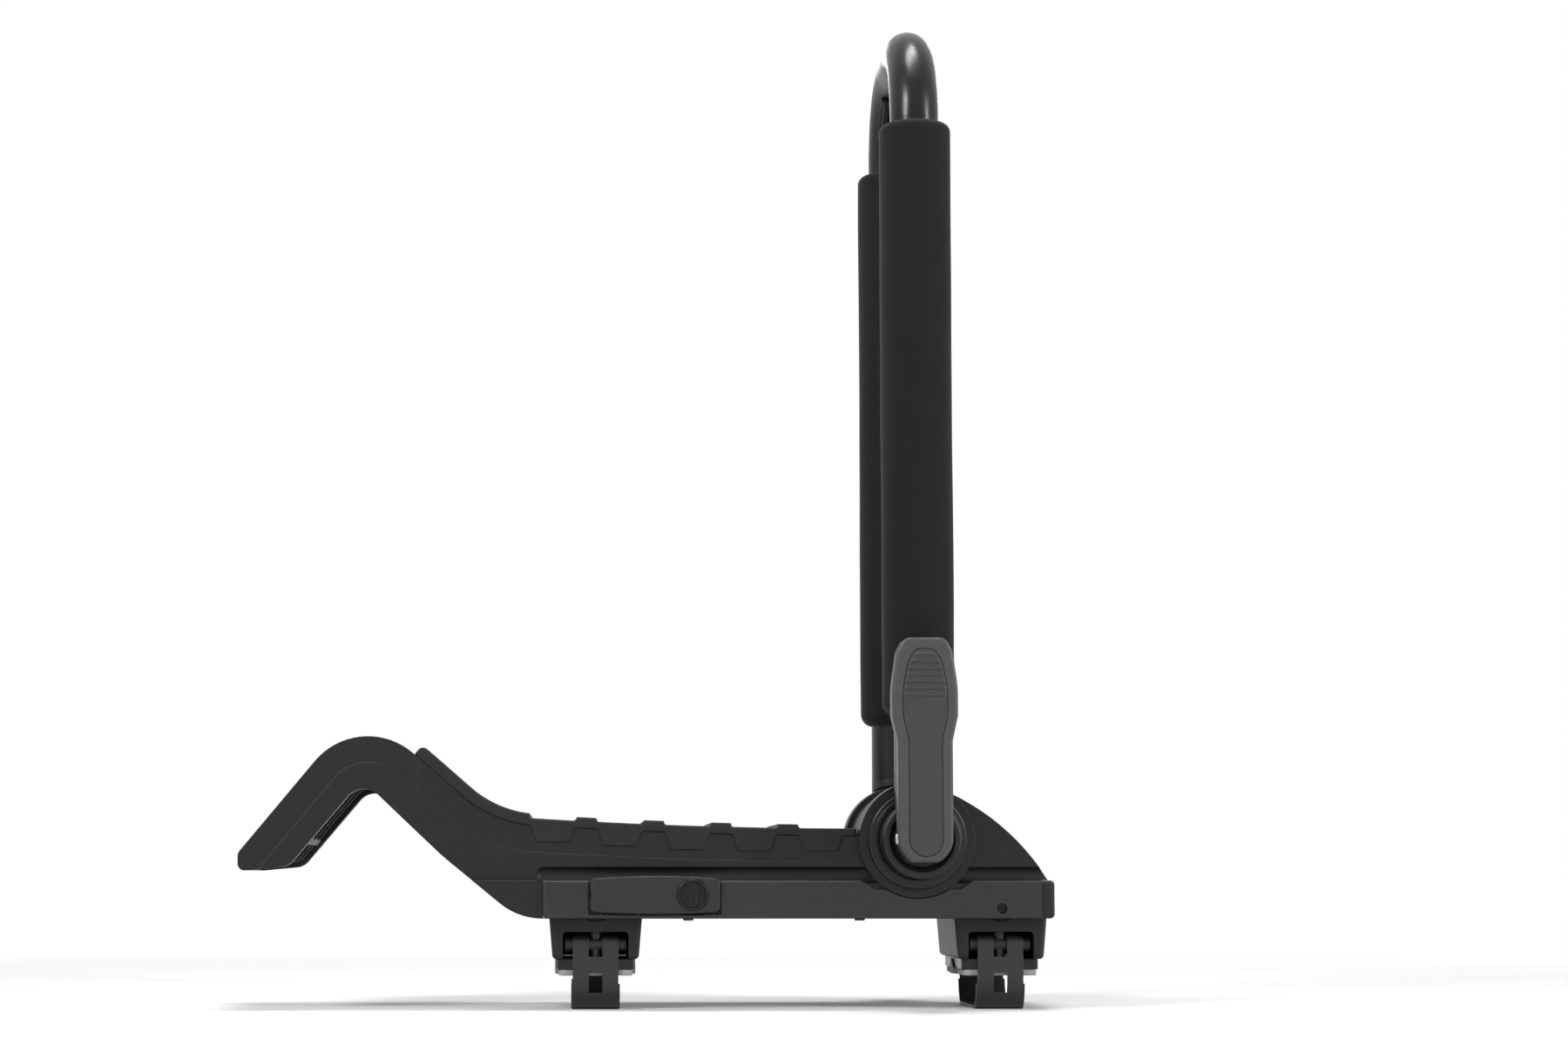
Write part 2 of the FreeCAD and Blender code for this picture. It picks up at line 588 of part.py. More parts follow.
def make_base_rail():
    """Aluminium tray that the body stands in."""
    top = RAIL_BOTTOM_Z + RAIL_HEIGHT
    outer = rail_section(RAIL_HALF_DEPTH, RAIL_BOTTOM_Z, top, RAIL_LEFT_X, RAIL_RIGHT_X)
    long_edges = [e for e in outer.Edges if abs(e.BoundBox.XLength) > 10]
    outer = outer.makeFillet(RAIL_EDGE_R, long_edges)
    inner = rail_section(RAIL_HALF_DEPTH - RAIL_WALL, RAIL_BOTTOM_Z + RAIL_FLOOR, top + 1,
                         RAIL_LEFT_X - 1, RAIL_RIGHT_X + 1)
    tools = [inner, pivot_cylinder(DRUM_R + LOOSE_GAP, -RAIL_HALF_DEPTH - 1, RAIL_HALF_DEPTH + 1)]
    for y in (-RAIL_HALF_DEPTH - 1, RAIL_HALF_DEPTH - RAIL_WALL - 1):
        tools.append(rod(KEY_HOLE_R, (CLAMP_PITCH + KEY_HOLE_SHIFT, y, KEY_HOLE_Z), Y_AXIS, RAIL_WALL + 2))
    notch_floor = COVER_Z0 - COVER_BULGE - COVER_GAP
    tools.append(box(COVER_X0 - COVER_GAP, COVER_X1 + COVER_GAP, -RAIL_HALF_DEPTH - 1,
                     -RAIL_HALF_DEPTH + RAIL_WALL + 0.1, notch_floor, top + 1))
    z0 = RAIL_BOTTOM_Z - 1
    for x in clamp_xs():
        tools.append(rod(BOLT_R + LOOSE_GAP, (x, -bolt_offset(), z0), Z_AXIS, RAIL_FLOOR + 2))
        for y in (-HOUSING_SCREW_Y, HOUSING_SCREW_Y):
            tools.append(rod(HOUSING_SCREW_R + PRESS_GAP, (x, y, z0), Z_AXIS, RAIL_FLOOR + 2))
    for x in RAIL_SCREW_XS:
        for y in (-RAIL_SCREW_Y, RAIL_SCREW_Y):
            tools.append(rod(RAIL_SCREW_R + PRESS_GAP, (x, y, z0), Z_AXIS, RAIL_FLOOR + 2))
    notch = [(PIVOT_X - DRUM_NOTCH_HALF, top, DRUM_NOTCH_R),
             (PIVOT_X - DRUM_NOTCH_FOOT_HALF, top - DRUM_NOTCH_DEPTH, 0.0),
             (PIVOT_X + DRUM_NOTCH_FOOT_HALF, top - DRUM_NOTCH_DEPTH, 0.0),
             (PIVOT_X + DRUM_NOTCH_HALF, top, DRUM_NOTCH_R),
             (PIVOT_X + DRUM_NOTCH_HALF + DRUM_NOTCH_R, top, 0.0),
             (PIVOT_X + DRUM_NOTCH_HALF + DRUM_NOTCH_R, top + 1, 0.0),
             (PIVOT_X - DRUM_NOTCH_HALF - DRUM_NOTCH_R, top + 1, 0.0),
             (PIVOT_X - DRUM_NOTCH_HALF - DRUM_NOTCH_R, top, 0.0)]
    tools.append(plate_xz(notch, -RAIL_HALF_DEPTH - 1, RAIL_HALF_DEPTH + 1))
    return cut(outer, tools)


def make_rail_end_cap():
    top = RAIL_BOTTOM_Z + RAIL_HEIGHT
    x1 = RAIL_RIGHT_X + CAP_LENGTH
    half = RAIL_HALF_DEPTH + 0.4
    cap = plate_xz([(RAIL_RIGHT_X, RAIL_BOTTOM_Z, 0.0), (x1, RAIL_BOTTOM_Z, CAP_CORNER_R),
                    (x1, top + 0.3, CAP_CORNER_R), (RAIL_RIGHT_X, top + 0.3, 0.0)], -half, half)
    ends = [e for e in cap.Edges if abs(e.BoundBox.ZLength) > RAIL_HEIGHT * 0.6 and e.BoundBox.XMin > x1 - 1]
    cap = cap.makeFillet(CAP_CORNER_R - 0.5, ends)
    plug_half = RAIL_HALF_DEPTH - RAIL_WALL - PRESS_GAP
    seat_z = RAIL_BOTTOM_Z + RAIL_FLOOR + PRESS_GAP
    tab_y = plug_half - 1.2
    tabs = box(RAIL_RIGHT_X - BODY_IN_RAIL_GAP + PRESS_GAP, RAIL_RIGHT_X, -tab_y, tab_y,
               seat_z, top - 4.0)
    return fuse([cap, tabs])


def make_rail_screws():
    """Pan-head screws up through the tray into the body's bosses."""
    screws = []
    for x in RAIL_SCREW_XS:
        for y in (-RAIL_SCREW_Y, RAIL_SCREW_Y):
            head_z = RAIL_BOTTOM_Z - RAIL_SCREW_HEAD_T
            head = rod(RAIL_SCREW_HEAD_R, (x, y, head_z), Z_AXIS, RAIL_SCREW_HEAD_T)
            head = head.makeFillet(0.9, [e for e in head.Edges if e.BoundBox.ZMax < head_z + 0.1
                                         and e.Length > 2])
            shank = rod(RAIL_SCREW_R, (x, y, RAIL_BOTTOM_Z), Z_AXIS, RAIL_SCREW_LENGTH)
            socket = hex_bar(2.5, (x, y, head_z - 0.1), Z_AXIS, 0.9)
            screws.append(head.fuse(shank).removeSplitter().cut(socket))
    return Part.makeCompound(screws)


def make_clamp_housing(x):
    """Moulded saddle of one clamp: an arch along Y, open below, with its windows front and back."""
    half = HOUSING_DEPTH / 2
    outline = [(x - HOUSING_TOP_HALF, RAIL_BOTTOM_Z, 0.0), (x + HOUSING_TOP_HALF, RAIL_BOTTOM_Z, 0.0),
               (x + HOUSING_FOOT_HALF, HOUSING_FOOT_Z, HOUSING_EDGE_R),
               (x - HOUSING_FOOT_HALF, HOUSING_FOOT_Z, HOUSING_EDGE_R)]
    arch = plate_xz(outline, -half, half)
    uprights = [e for e in arch.Edges if e.BoundBox.ZLength > 15 and e.BoundBox.YLength < 0.1]
    arch = arch.makeFillet(HOUSING_EDGE_R, uprights)
    window = plate_xz([(x - WINDOW_HALF, 0.0, 0.0), (x + WINDOW_HALF, 0.0, 0.0),
                       (x + WINDOW_HALF, WINDOW_TOP_Z, WINDOW_CORNER_R),
                       (x - WINDOW_HALF, WINDOW_TOP_Z, WINDOW_CORNER_R)], -half - 1, half + 1)
    room_half = half - HOUSING_END_WALL
    room = box(x - WINDOW_HALF, x + WINDOW_HALF, -room_half, room_half,
               0, RAIL_BOTTOM_Z - HOUSING_TOP_WALL)
    tools = [window, room]
    tools.append(rod(BOLT_R + LOOSE_GAP, (x, -bolt_offset(), WINDOW_TOP_Z), Z_AXIS, 15.0))
    for y in (-HOUSING_SCREW_Y, HOUSING_SCREW_Y):
        tools.append(rod(HOUSING_SCREW_R + PRESS_GAP, (x, y, WINDOW_TOP_Z), Z_AXIS, 15.0))
    mark = plate_xz([(x - MARK_HALF, RAIL_BOTTOM_Z + 1, 0.0), (x - MARK_HALF, RAIL_BOTTOM_Z - MARK_DROP / 3, 0.0),
                     (x, RAIL_BOTTOM_Z - MARK_DROP, 0.0), (x + MARK_HALF, RAIL_BOTTOM_Z - MARK_DROP / 3, 0.0),
                     (x + MARK_HALF, RAIL_BOTTOM_Z + 1, 0.0)], -half - 1, -half + MARK_DEPTH)
    arch = cut(arch, tools + [mark, mirror_y(mark)])
    # The rear end is closed by a wall that carries the strap's anchor
    wall = box(x - WINDOW_HALF, x + WINDOW_HALF, room_half, half,
               HOUSING_FOOT_Z, WINDOW_TOP_Z + 1.0)
    arch = fuse([arch, wall])
    return arch.cut(rod(ANCHOR_R + PRESS_GAP, (x, room_half - 1, NUT_Z), Y_AXIS, HOUSING_END_WALL + 2))


def make_clamp_block(x):
    """Stiff block under the housing that spreads the load on the bar pad."""
    half = HOUSING_DEPTH / 2 - BLOCK_END_GAP
    z0 = BAR_PAD_T + 0.05
    block = box(x - BLOCK_HALF, x + BLOCK_HALF, -half, half, z0, HOUSING_FOOT_Z)
    uprights = [e for e in block.Edges if e.BoundBox.ZLength > 5]
    block = block.makeFillet(2.0, uprights)
    bolt_y = bolt_offset()
    well = rod(BOLT_R + 1.5, (x, -bolt_y, z0 - 1), Z_AXIS, 15)
    front_relief = box(x - BOLT_R - 1.5, x + BOLT_R + 1.5, -half - 1, -bolt_y, z0 - 1, 15)
    return cut(block, [well, front_relief])


def make_bar_pad(x):
    """Pale rubber pad on the crossbar, with a small lug up each side."""
    half = HOUSING_DEPTH / 2 - BLOCK_END_GAP
    pad = box(x - BAR_PAD_HALF, x + BAR_PAD_HALF, -half, half, 0, BAR_PAD_T)
    uprights = [e for e in pad.Edges if e.BoundBox.ZLength > 3]
    pad = pad.makeFillet(1.5, uprights)
    lugs = []
    for sign in (-1, 1):
        inner = x + sign * (BLOCK_HALF + PRESS_GAP)
        outer = x + sign * (BLOCK_HALF + PRESS_GAP + BAR_LUG_T)
        x0, x1 = min(inner, outer), max(inner, outer)
        corners = [V(x0, -BAR_LUG_W, 0), V(x0, BAR_LUG_W, 0), V(x0, BAR_LUG_W, BAR_PAD_T),
                   V(x0, 1.0, HOUSING_FOOT_Z - 0.3), V(x0, -1.0, HOUSING_FOOT_Z - 0.3),
                   V(x0, -BAR_LUG_W, BAR_PAD_T), V(x0, -BAR_LUG_W, 0)]
        lug = Part.Face(Part.makePolygon(corners)).extrude(V(x1 - x0, 0, 0))
        foot_x0 = min(x + sign * (BAR_PAD_HALF - 1), outer)
        foot_x1 = max(x + sign * (BAR_PAD_HALF - 1), outer)
        lugs += [lug, box(foot_x0, foot_x1, -BAR_LUG_W, BAR_LUG_W, 0, BAR_PAD_T)]
    return fuse([pad] + lugs)


def strap_path(z_top):
    """Side view of the strap (y, z, radius), front run first, under the bar, up the rear."""
    front_y = -(HOUSING_DEPTH / 2 - HOUSING_END_WALL - SLIDE_GAP - STRAP_T / 2)
    low = -STRAP_DROP + STRAP_T / 2
    return [(front_y, z_top, 0.0), (front_y, low + 12.0, 30.0), (front_y + 8.0, low, 8.0),
            (-front_y - 8.0, low, 8.0), (-front_y, low + 12.0, 30.0), (-front_y, z_top, 0.0)]


def make_strap(x):
    """Stiff coated strap: a curl round the barrel nut, down the front, under the bar, up the rear."""
    half_t = STRAP_T / 2
    low = -STRAP_DROP + STRAP_T / 2
    path = strap_path(NUT_Z)
    outer = offset_yz(path, half_t)
    inner = offset_yz(path, -half_t)
    loop = plate_yz(outer + inner[::-1], x - STRAP_W / 2, x + STRAP_W / 2)
    # The front end curls over the barrel nut
    nut_y = -bolt_offset()
    gap = PRESS_GAP
    curl = ring(NUT_R + STRAP_T, NUT_R + gap, (x - STRAP_W / 2, nut_y, NUT_Z), X_AXIS, STRAP_W)
    below = box(x - STRAP_W, x + STRAP_W, nut_y - 20, nut_y + 20, -50, NUT_Z)
    curl = curl.cut(below)
    # The rear end is a flat tongue with an upright slot for the anchor
    top_z = NUT_Z + ANCHOR_R + STRAP_DOWN + 3.0
    rear_y = -path[0][0]
    tongue = box(x - STRAP_W / 2, x + STRAP_W / 2, rear_y - half_t, rear_y + half_t,
                 NUT_Z - 1, min(top_z, RAIL_BOTTOM_Z - HOUSING_TOP_WALL - STRAP_UP - 0.6))
    strap = fuse([loop, curl, tongue])
    waist_z = STRAP_LOWER_SLOT_Z0 + 6.0
    tools = []
    for sign in (-1, 1):
        edge = x + sign * STRAP_W / 2
        x0 = min(edge, edge - sign * STRAP_WAIST)
        tools.append(box(x0, x0 + STRAP_WAIST, -60, 60, waist_z, 60))
    slot_half = STRAP_SLOT_W / 2
    tools.append(box(x - slot_half, x + slot_half, -60, nut_y + NUT_R + STRAP_T + 1,
                     STRAP_SLOT_TOP_Z, 60))
    tools.append(box(x - slot_half, x + slot_half, -60, nut_y, STRAP_LOWER_SLOT_Z0, STRAP_LOWER_SLOT_Z1))
    tools.append(rod(STRAP_NOTCH_R, (x, -60, -STRAP_DROP - 0.3), Y_AXIS, 22.0))
    slot_z0 = NUT_Z - STRAP_UP - ANCHOR_R - SLIDE_GAP
    slot_z1 = NUT_Z + STRAP_DOWN + ANCHOR_R + SLIDE_GAP
    anchor_half = ANCHOR_R + SLIDE_GAP
    tools.append(box(x - anchor_half, x + anchor_half, rear_y - 3, rear_y + 3,
                     slot_z0 + anchor_half, slot_z1 - anchor_half))
    for end_z in (slot_z0 + anchor_half, slot_z1 - anchor_half):
        tools.append(rod(anchor_half, (x, rear_y - 3, end_z), Y_AXIS, 6.0))
    return cut(strap, tools)


def plate_yz(points, x0, x1):
    """A closed rounded outline given as (y, z, radius), thick from x0 to x1."""
    flat = plate_xz([(y, z, r) for y, z, r in points], -x1, -x0)
    return flat.rotate(V(0, 0, 0), Z_AXIS, 90)


def offset_yz(points, d):
    """The strap's path moved d outwards."""
    return offset_path(points, -d)


def make_barrel_nut(x):
    body = rod(NUT_R, (x - NUT_LENGTH / 2, -bolt_offset(), NUT_Z), X_AXIS, NUT_LENGTH)
    body = body.makeChamfer(0.6, [e for e in body.Edges if e.BoundBox.XLength < 0.1])
    return body.cut(rod(BOLT_R + RUN_FIT, (x, -bolt_offset(), NUT_Z - 10), Z_AXIS, 20))


def bolt_seat_z():
    return RAIL_BOTTOM_Z + RAIL_FLOOR + THRUST_WASHER_T + RUN_FIT


def make_tension_bolt(x):
    """Socket-head bolt, upright, that draws the barrel nut up."""
    seat = bolt_seat_z()
    at = (x, -bolt_offset())
    end_z = NUT_Z - NUT_R - STRAP_DOWN - 2.0
    head = rod(BOLT_HEAD_R, (at[0], at[1], seat), Z_AXIS, BOLT_HEAD_H)
    head = head.makeFillet(0.8, [e for e in head.Edges if e.BoundBox.ZMin > seat + 1 and e.Length > 10
                                 and e.BoundBox.ZLength < 0.1])
    shank = rod(BOLT_R, (at[0], at[1], end_z), Z_AXIS, seat - end_z)
    shank = shank.makeChamfer(0.7, [e for e in shank.Edges if e.BoundBox.ZMax < end_z + 0.1])
    socket = hex_bar(BOLT_KEY_AF, (at[0], at[1], seat + BOLT_HEAD_H - 5.0), Z_AXIS, 6.0)
    return head.fuse(shank).removeSplitter().cut(socket)


def make_thrust_washer(x):
    floor = RAIL_BOTTOM_Z + RAIL_FLOOR
    return ring(THRUST_WASHER_R, BOLT_R + LOOSE_GAP, (x, -bolt_offset(), floor), Z_AXIS, THRUST_WASHER_T)


def make_strap_anchor(x):
    """Rivet through the housing's rear wall and the strap's slot."""
    room = HOUSING_DEPTH / 2 - HOUSING_END_WALL
    inner_y = room - SLIDE_GAP * 2 - STRAP_T
    shank = rod(ANCHOR_R, (x, inner_y, NUT_Z), Y_AXIS, HOUSING_DEPTH / 2 - inner_y)
    inner = rod(ANCHOR_HEAD_R, (x, inner_y - ANCHOR_HEAD_T, NUT_Z), Y_AXIS, ANCHOR_HEAD_T)
    outer = rod(ANCHOR_HEAD_R, (x, HOUSING_DEPTH / 2, NUT_Z), Y_AXIS, ANCHOR_HEAD_T)
    outer = outer.makeFillet(1.2, [e for e in outer.Edges if e.BoundBox.YMin > HOUSING_DEPTH / 2 + 1
                                   and e.Length > 10])
    return fuse([shank, inner, outer])


def make_housing_screws():
    """Screws that hold each clamp housing up under the tray."""
    screws = []
    floor = RAIL_BOTTOM_Z + RAIL_FLOOR
    for x in clamp_xs():
        for y in (-HOUSING_SCREW_Y, HOUSING_SCREW_Y):
            head = rod(HOUSING_SCREW_HEAD_R, (x, y, floor), Z_AXIS, HOUSING_SCREW_HEAD_T)
            foot_z = RAIL_BOTTOM_Z - HOUSING_TOP_WALL
            shank = rod(HOUSING_SCREW_R, (x, y, foot_z), Z_AXIS, floor - foot_z)
            socket = hex_bar(4.0, (x, y, floor + HOUSING_SCREW_HEAD_T - 1.6), Z_AXIS, 2.0)
            screws.append(head.fuse(shank).removeSplitter().cut(socket))
    return Part.makeCompound(screws)


def hub_ring_outer():
    return DRUM_OUT + HUB_RING_T


def knuckle_inner():
    """Distance of the knuckle's inner face from the middle."""
    return hub_ring_outer() + FRICTION_DISC_T + SLIDE_GAP


def side(shape, sign):
    """A piece built for the front (-Y) side, as it is or mirrored to the rear."""
    return shape if sign < 0 else mirror_y(shape)


def make_hub_ring(sign):
    """Fixed ring on the drum cheek that the arm's knuckle turns against."""
    outer = hub_ring_outer()
    disc = pivot_cylinder(HUB_RING_R, -outer, -DRUM_OUT)
    rim = [e for e in disc.Edges if e.BoundBox.YMax < -outer + 0.1 and e.Length > 20]
    disc = disc.makeFillet(1.4, rim)
    lip = pivot_cylinder(HUB_RING_LIP_R, -outer - HUB_RING_LIP_T, -outer)
    lip = lip.cut(pivot_cylinder(KNUCKLE_R + LOOSE_GAP, -outer - HUB_RING_LIP_T - 1, -outer + 1))
    disc = fuse([disc, lip])
    return side(disc.cut(pivot_cylinder(SLEEVE_R + PRESS_GAP, -outer - 5, 0)), sign)


def make_friction_disc(sign):
    outer = hub_ring_outer()
    disc = pivot_cylinder(FRICTION_DISC_R, -outer - FRICTION_DISC_T, -outer)
    return side(disc.cut(pivot_cylinder(SLEEVE_R + PRESS_GAP, -outer - 5, 0)), sign)


def make_pivot_sleeve():
    outer = hub_ring_outer() + FRICTION_DISC_T
    return pivot_cylinder(SLEEVE_R, -outer, outer).cut(pivot_cylinder(ROD_R + RUN_FIT, -outer - 1, outer + 1))


def leg_cylinder(r, z0, z1):
    """A round bar on the front leg's centre line, from z0 to z1 above the pivot."""
    return rod(r, (PIVOT_X, -LEG_SPREAD / 2, PIVOT_Z + z0), Z_AXIS, z1 - z0)


def make_knuckle(sign):
    """Cast end of one leg: a disc on the pivot with a bowl in its face, and a spigot in the tube."""
    inner = knuckle_inner()
    disc = pivot_cylinder(KNUCKLE_R, -KNUCKLE_OUT, -inner)
    rim = [e for e in disc.Edges if e.BoundBox.YMax < -KNUCKLE_OUT + 0.1 and e.Length > 20]
    disc = disc.makeFillet(1.5, rim)
    stub = leg_cylinder(TUBE_R, 0, KNUCKLE_TOP)
    clear_r = DRUM_R + 2 * LOOSE_GAP
    drum_side = pivot_cylinder(clear_r, -inner, 0)
    stub = stub.cut(drum_side)
    spigot_r = TUBE_R - TUBE_WALL - PRESS_GAP
    spigot = leg_cylinder(spigot_r, KNUCKLE_TOP - 2, KNUCKLE_TOP + SPIGOT_LENGTH)
    bore = leg_cylinder(spigot_r - SPIGOT_WALL, KNUCKLE_TOP, KNUCKLE_TOP + SPIGOT_LENGTH + 1)
    body = fuse([disc, stub, spigot])
    seat = SEAT_Y - SEAT_WASHER_T
    bowl = pivot_cylinder(KNUCKLE_BOWL_R, -KNUCKLE_OUT - 1, -seat)
    depth = KNUCKLE_RIM_R - KNUCKLE_BOWL_R
    cone = Part.makeCone(KNUCKLE_RIM_R, KNUCKLE_BOWL_R, depth,
                         V(PIVOT_X, -KNUCKLE_OUT, PIVOT_Z), Y_AXIS)
    way = pivot_cylinder(ROD_R + RUN_FIT, -KNUCKLE_OUT - 5, 0)
    rivet_z = PIVOT_Z + KNUCKLE_TOP + SPIGOT_LENGTH / 2
    rivet = rod(RIVET_R + PRESS_GAP, (PIVOT_X, -LEG_SPREAD / 2 - TUBE_R - 1, rivet_z), Y_AXIS, TUBE_R)
    return side(cut(body, [bore, bowl, cone, way, rivet]), sign)


def make_leg_rivets():
    """Blind rivets through the tube into each spigot, from outside."""
    z = PIVOT_Z + KNUCKLE_TOP + SPIGOT_LENGTH / 2
    y = -LEG_SPREAD / 2 - TUBE_R
    shank_end = -LEG_SPREAD / 2 - TUBE_R + TUBE_WALL + SPIGOT_WALL
    shank = rod(RIVET_R, (PIVOT_X, y, z), Y_AXIS, shank_end - y)
    dome_r = (RIVET_HEAD_R ** 2 + RIVET_HEAD_T ** 2) / (2 * RIVET_HEAD_T)
    centre_y = y - RIVET_HEAD_T + dome_r
    dome = Part.makeSphere(dome_r, V(PIVOT_X, centre_y, z))
    head = dome.common(rod(RIVET_HEAD_R, (PIVOT_X, y - RIVET_HEAD_T - 1, z), Y_AXIS, RIVET_HEAD_T + 1.6))
    on_tube = leg_cylinder(TUBE_R, KNUCKLE_TOP, KNUCKLE_TOP + SPIGOT_LENGTH)
    rivet = fuse([shank, head.cut(on_tube)])
    return Part.makeCompound([rivet, mirror_y(rivet)])


def bend(r, angle0, angle1):
    """Part of the rear bend as a solid round bar of radius r; 0 degrees is at the leg."""
    centre_y = LEG_SPREAD / 2 - CROWN_BEND_R
    centre_z = PIVOT_Z + CROWN_RISE - CROWN_BEND_R
    disc = Part.Face(Part.Wire(Part.makeCircle(r, V(PIVOT_X, LEG_SPREAD / 2, centre_z), Z_AXIS)))
    disc.rotate(V(PIVOT_X, centre_y, centre_z), X_AXIS, angle0)
    return disc.revolve(V(PIVOT_X, centre_y, centre_z), X_AXIS, angle1 - angle0)


def arm_bar(r):
    """The whole U as a solid bar of radius r."""
    leg = leg_cylinder(r, KNUCKLE_TOP, CROWN_RISE - CROWN_BEND_R)
    straight_half = LEG_SPREAD / 2 - CROWN_BEND_R
    crown = rod(r, (PIVOT_X, -straight_half, PIVOT_Z + CROWN_RISE), Y_AXIS, 2 * straight_half)
    turn = bend(r, 0, 90)
    return fuse([leg, mirror_y(leg), crown, turn, mirror_y(turn)])


def make_arm_tube():
    tube = arm_bar(TUBE_R).cut(arm_bar(TUBE_R - TUBE_WALL))
    rivet_z = PIVOT_Z + KNUCKLE_TOP + SPIGOT_LENGTH / 2
    hole = rod(RIVET_R + PRESS_GAP, (PIVOT_X, -LEG_SPREAD / 2 - TUBE_R - 1, rivet_z), Y_AXIS, 6.0)
    return cut(tube, [hole, mirror_y(hole)])


def make_foam_sleeve(sign):
    """Closed-cell foam sleeve on a leg, its ends rounded."""
    top = CROWN_RISE - FOAM_TO_CROWN
    foam = leg_cylinder(FOAM_R, FOAM_START, top)
    ends = [e for e in foam.Edges if e.BoundBox.ZLength < 0.1]
    foam = foam.makeFillet(FOAM_END_R, ends)
    foam = foam.cut(leg_cylinder(TUBE_R + PRESS_GAP, FOAM_START - 1, top + 1))
    return side(foam, sign)


def make_strap_keeper():
    """Moulded clip on the rear bend with a slot for the tail of a tie-down strap."""
    shell = bend(TUBE_R + KEEPER_T, KEEPER_FROM, KEEPER_TO).cut(bend(TUBE_R + PRESS_GAP, 0, 90))
    # Only a strip along the inside of the bend is kept
    centre_y = LEG_SPREAD / 2 - CROWN_BEND_R
    centre_z = PIVOT_Z + CROWN_RISE - CROWN_BEND_R
    inside = rod(CROWN_BEND_R + 4.0, (PIVOT_X - 30, centre_y, centre_z), X_AXIS, 60)
    facing = box(PIVOT_X - KEEPER_HALF_W, PIVOT_X + KEEPER_HALF_W, 0, LEG_SPREAD + CROWN_RISE,
                 centre_z - CROWN_RISE, centre_z + CROWN_RISE)
    clip = shell.common(inside).common(facing)
    # The raised loop and its slot follow the bend
    loop_r = CROWN_BEND_R - TUBE_R - KEEPER_T / 2
    loop = rod(loop_r + 1.0, (PIVOT_X - 9.0, centre_y, centre_z), X_AXIS, 9.0)
    loop = loop.cut(rod(loop_r - 3.4, (PIVOT_X - 9.5, centre_y, centre_z), X_AXIS, 10.0))
    keep = bend(TUBE_R + 12.0, KEEPER_FROM, KEEPER_TO)
    loop = loop.common(keep).cut(bend(TUBE_R + PRESS_GAP, 0, 90))
    slot = rod(loop_r + 20.0, (PIVOT_X - 4.5 - KEEPER_SLOT_W / 2, centre_y, centre_z), X_AXIS, KEEPER_SLOT_W)
    slot = slot.common(bend(TUBE_R + 13.0, KEEPER_FROM + 7, KEEPER_TO - 7))
    slot = slot.cut(bend(TUBE_R + KEEPER_T * 0.4, 0, 90))
    return fuse([clip, loop]).cut(slot)


def cam_axis_y():
    """Distance of the cross pin from the middle, lever shut."""
    return SEAT_Y + SLIDE_GAP + CAM_R_OPEN + CAM_RISE


def cam_barrel(half, extra):
    """Spiral barrel round the cross pin; its radius falls evenly over the lever's swing."""
    steps = 10
    pin = V(0, -cam_axis_y(), PIVOT_Z)
    full = CAM_R_OPEN + CAM_RISE + extra
    spiral = []
    for k in range(steps + 1):
        swing = CAM_SWING * k / steps
        r = full - CAM_RISE * k / steps
        a = math.radians(-swing)
        spiral.append(pin + V(0, r * math.cos(a), r * math.sin(a)))
    curve = Part.BSplineCurve()
    curve.interpolate(spiral)
    low_r = CAM_R_OPEN + extra
    a_end = math.radians(-CAM_SWING)
    a_mid = math.radians(-(CAM_SWING + 180.0) / 2)
    after = pin + V(0, low_r * math.cos(a_mid), low_r * math.sin(a_mid))
    front = pin + V(0, -low_r, 0)
    front_arc = Part.Arc(spiral[-1], after, front)
    top = pin + V(0, 0, full)
    start = spiral[0]
    high_mid = pin + V(0, full * math.cos(math.pi / 4), full * math.sin(math.pi / 4))
    back_arc = Part.Arc(top, high_mid, start)
    edges = [curve.toShape(), front_arc.toShape(), Part.makeLine(front, top), back_arc.toShape()]
    face = Part.Face(Part.Wire(edges))
    face.translate(V(PIVOT_X - half, 0, 0))
    return face.extrude(V(2 * half, 0, 0))


def lever_outline(inset, top_drop, bottom_rise):
    """Front view of the lever from the pivot up, drawn in by inset (x, z, radius)."""
    shank = LEVER_SHANK_HALF - inset
    wide = LEVER_SHANK_HALF + 3.6 - inset
    upper = LEVER_SHANK_HALF + 0.3 - inset
    top = PIVOT_Z + LEVER_HEIGHT - top_drop
    right = [(shank, PIVOT_Z + bottom_rise, 0.0), (shank, PIVOT_Z + 63.0, 9.0),
             (wide, PIVOT_Z + 79.0, 12.0), (wide, PIVOT_Z + 97.0, 60.0),
             (upper, top - 9.0, 14.0), (upper - 4.6, top, 7.0)]
    outline = [(PIVOT_X + x, z, r) for x, z, r in right]
    outline += [(PIVOT_X - x, z, r) for x, z, r in right[::-1]]
    return outline


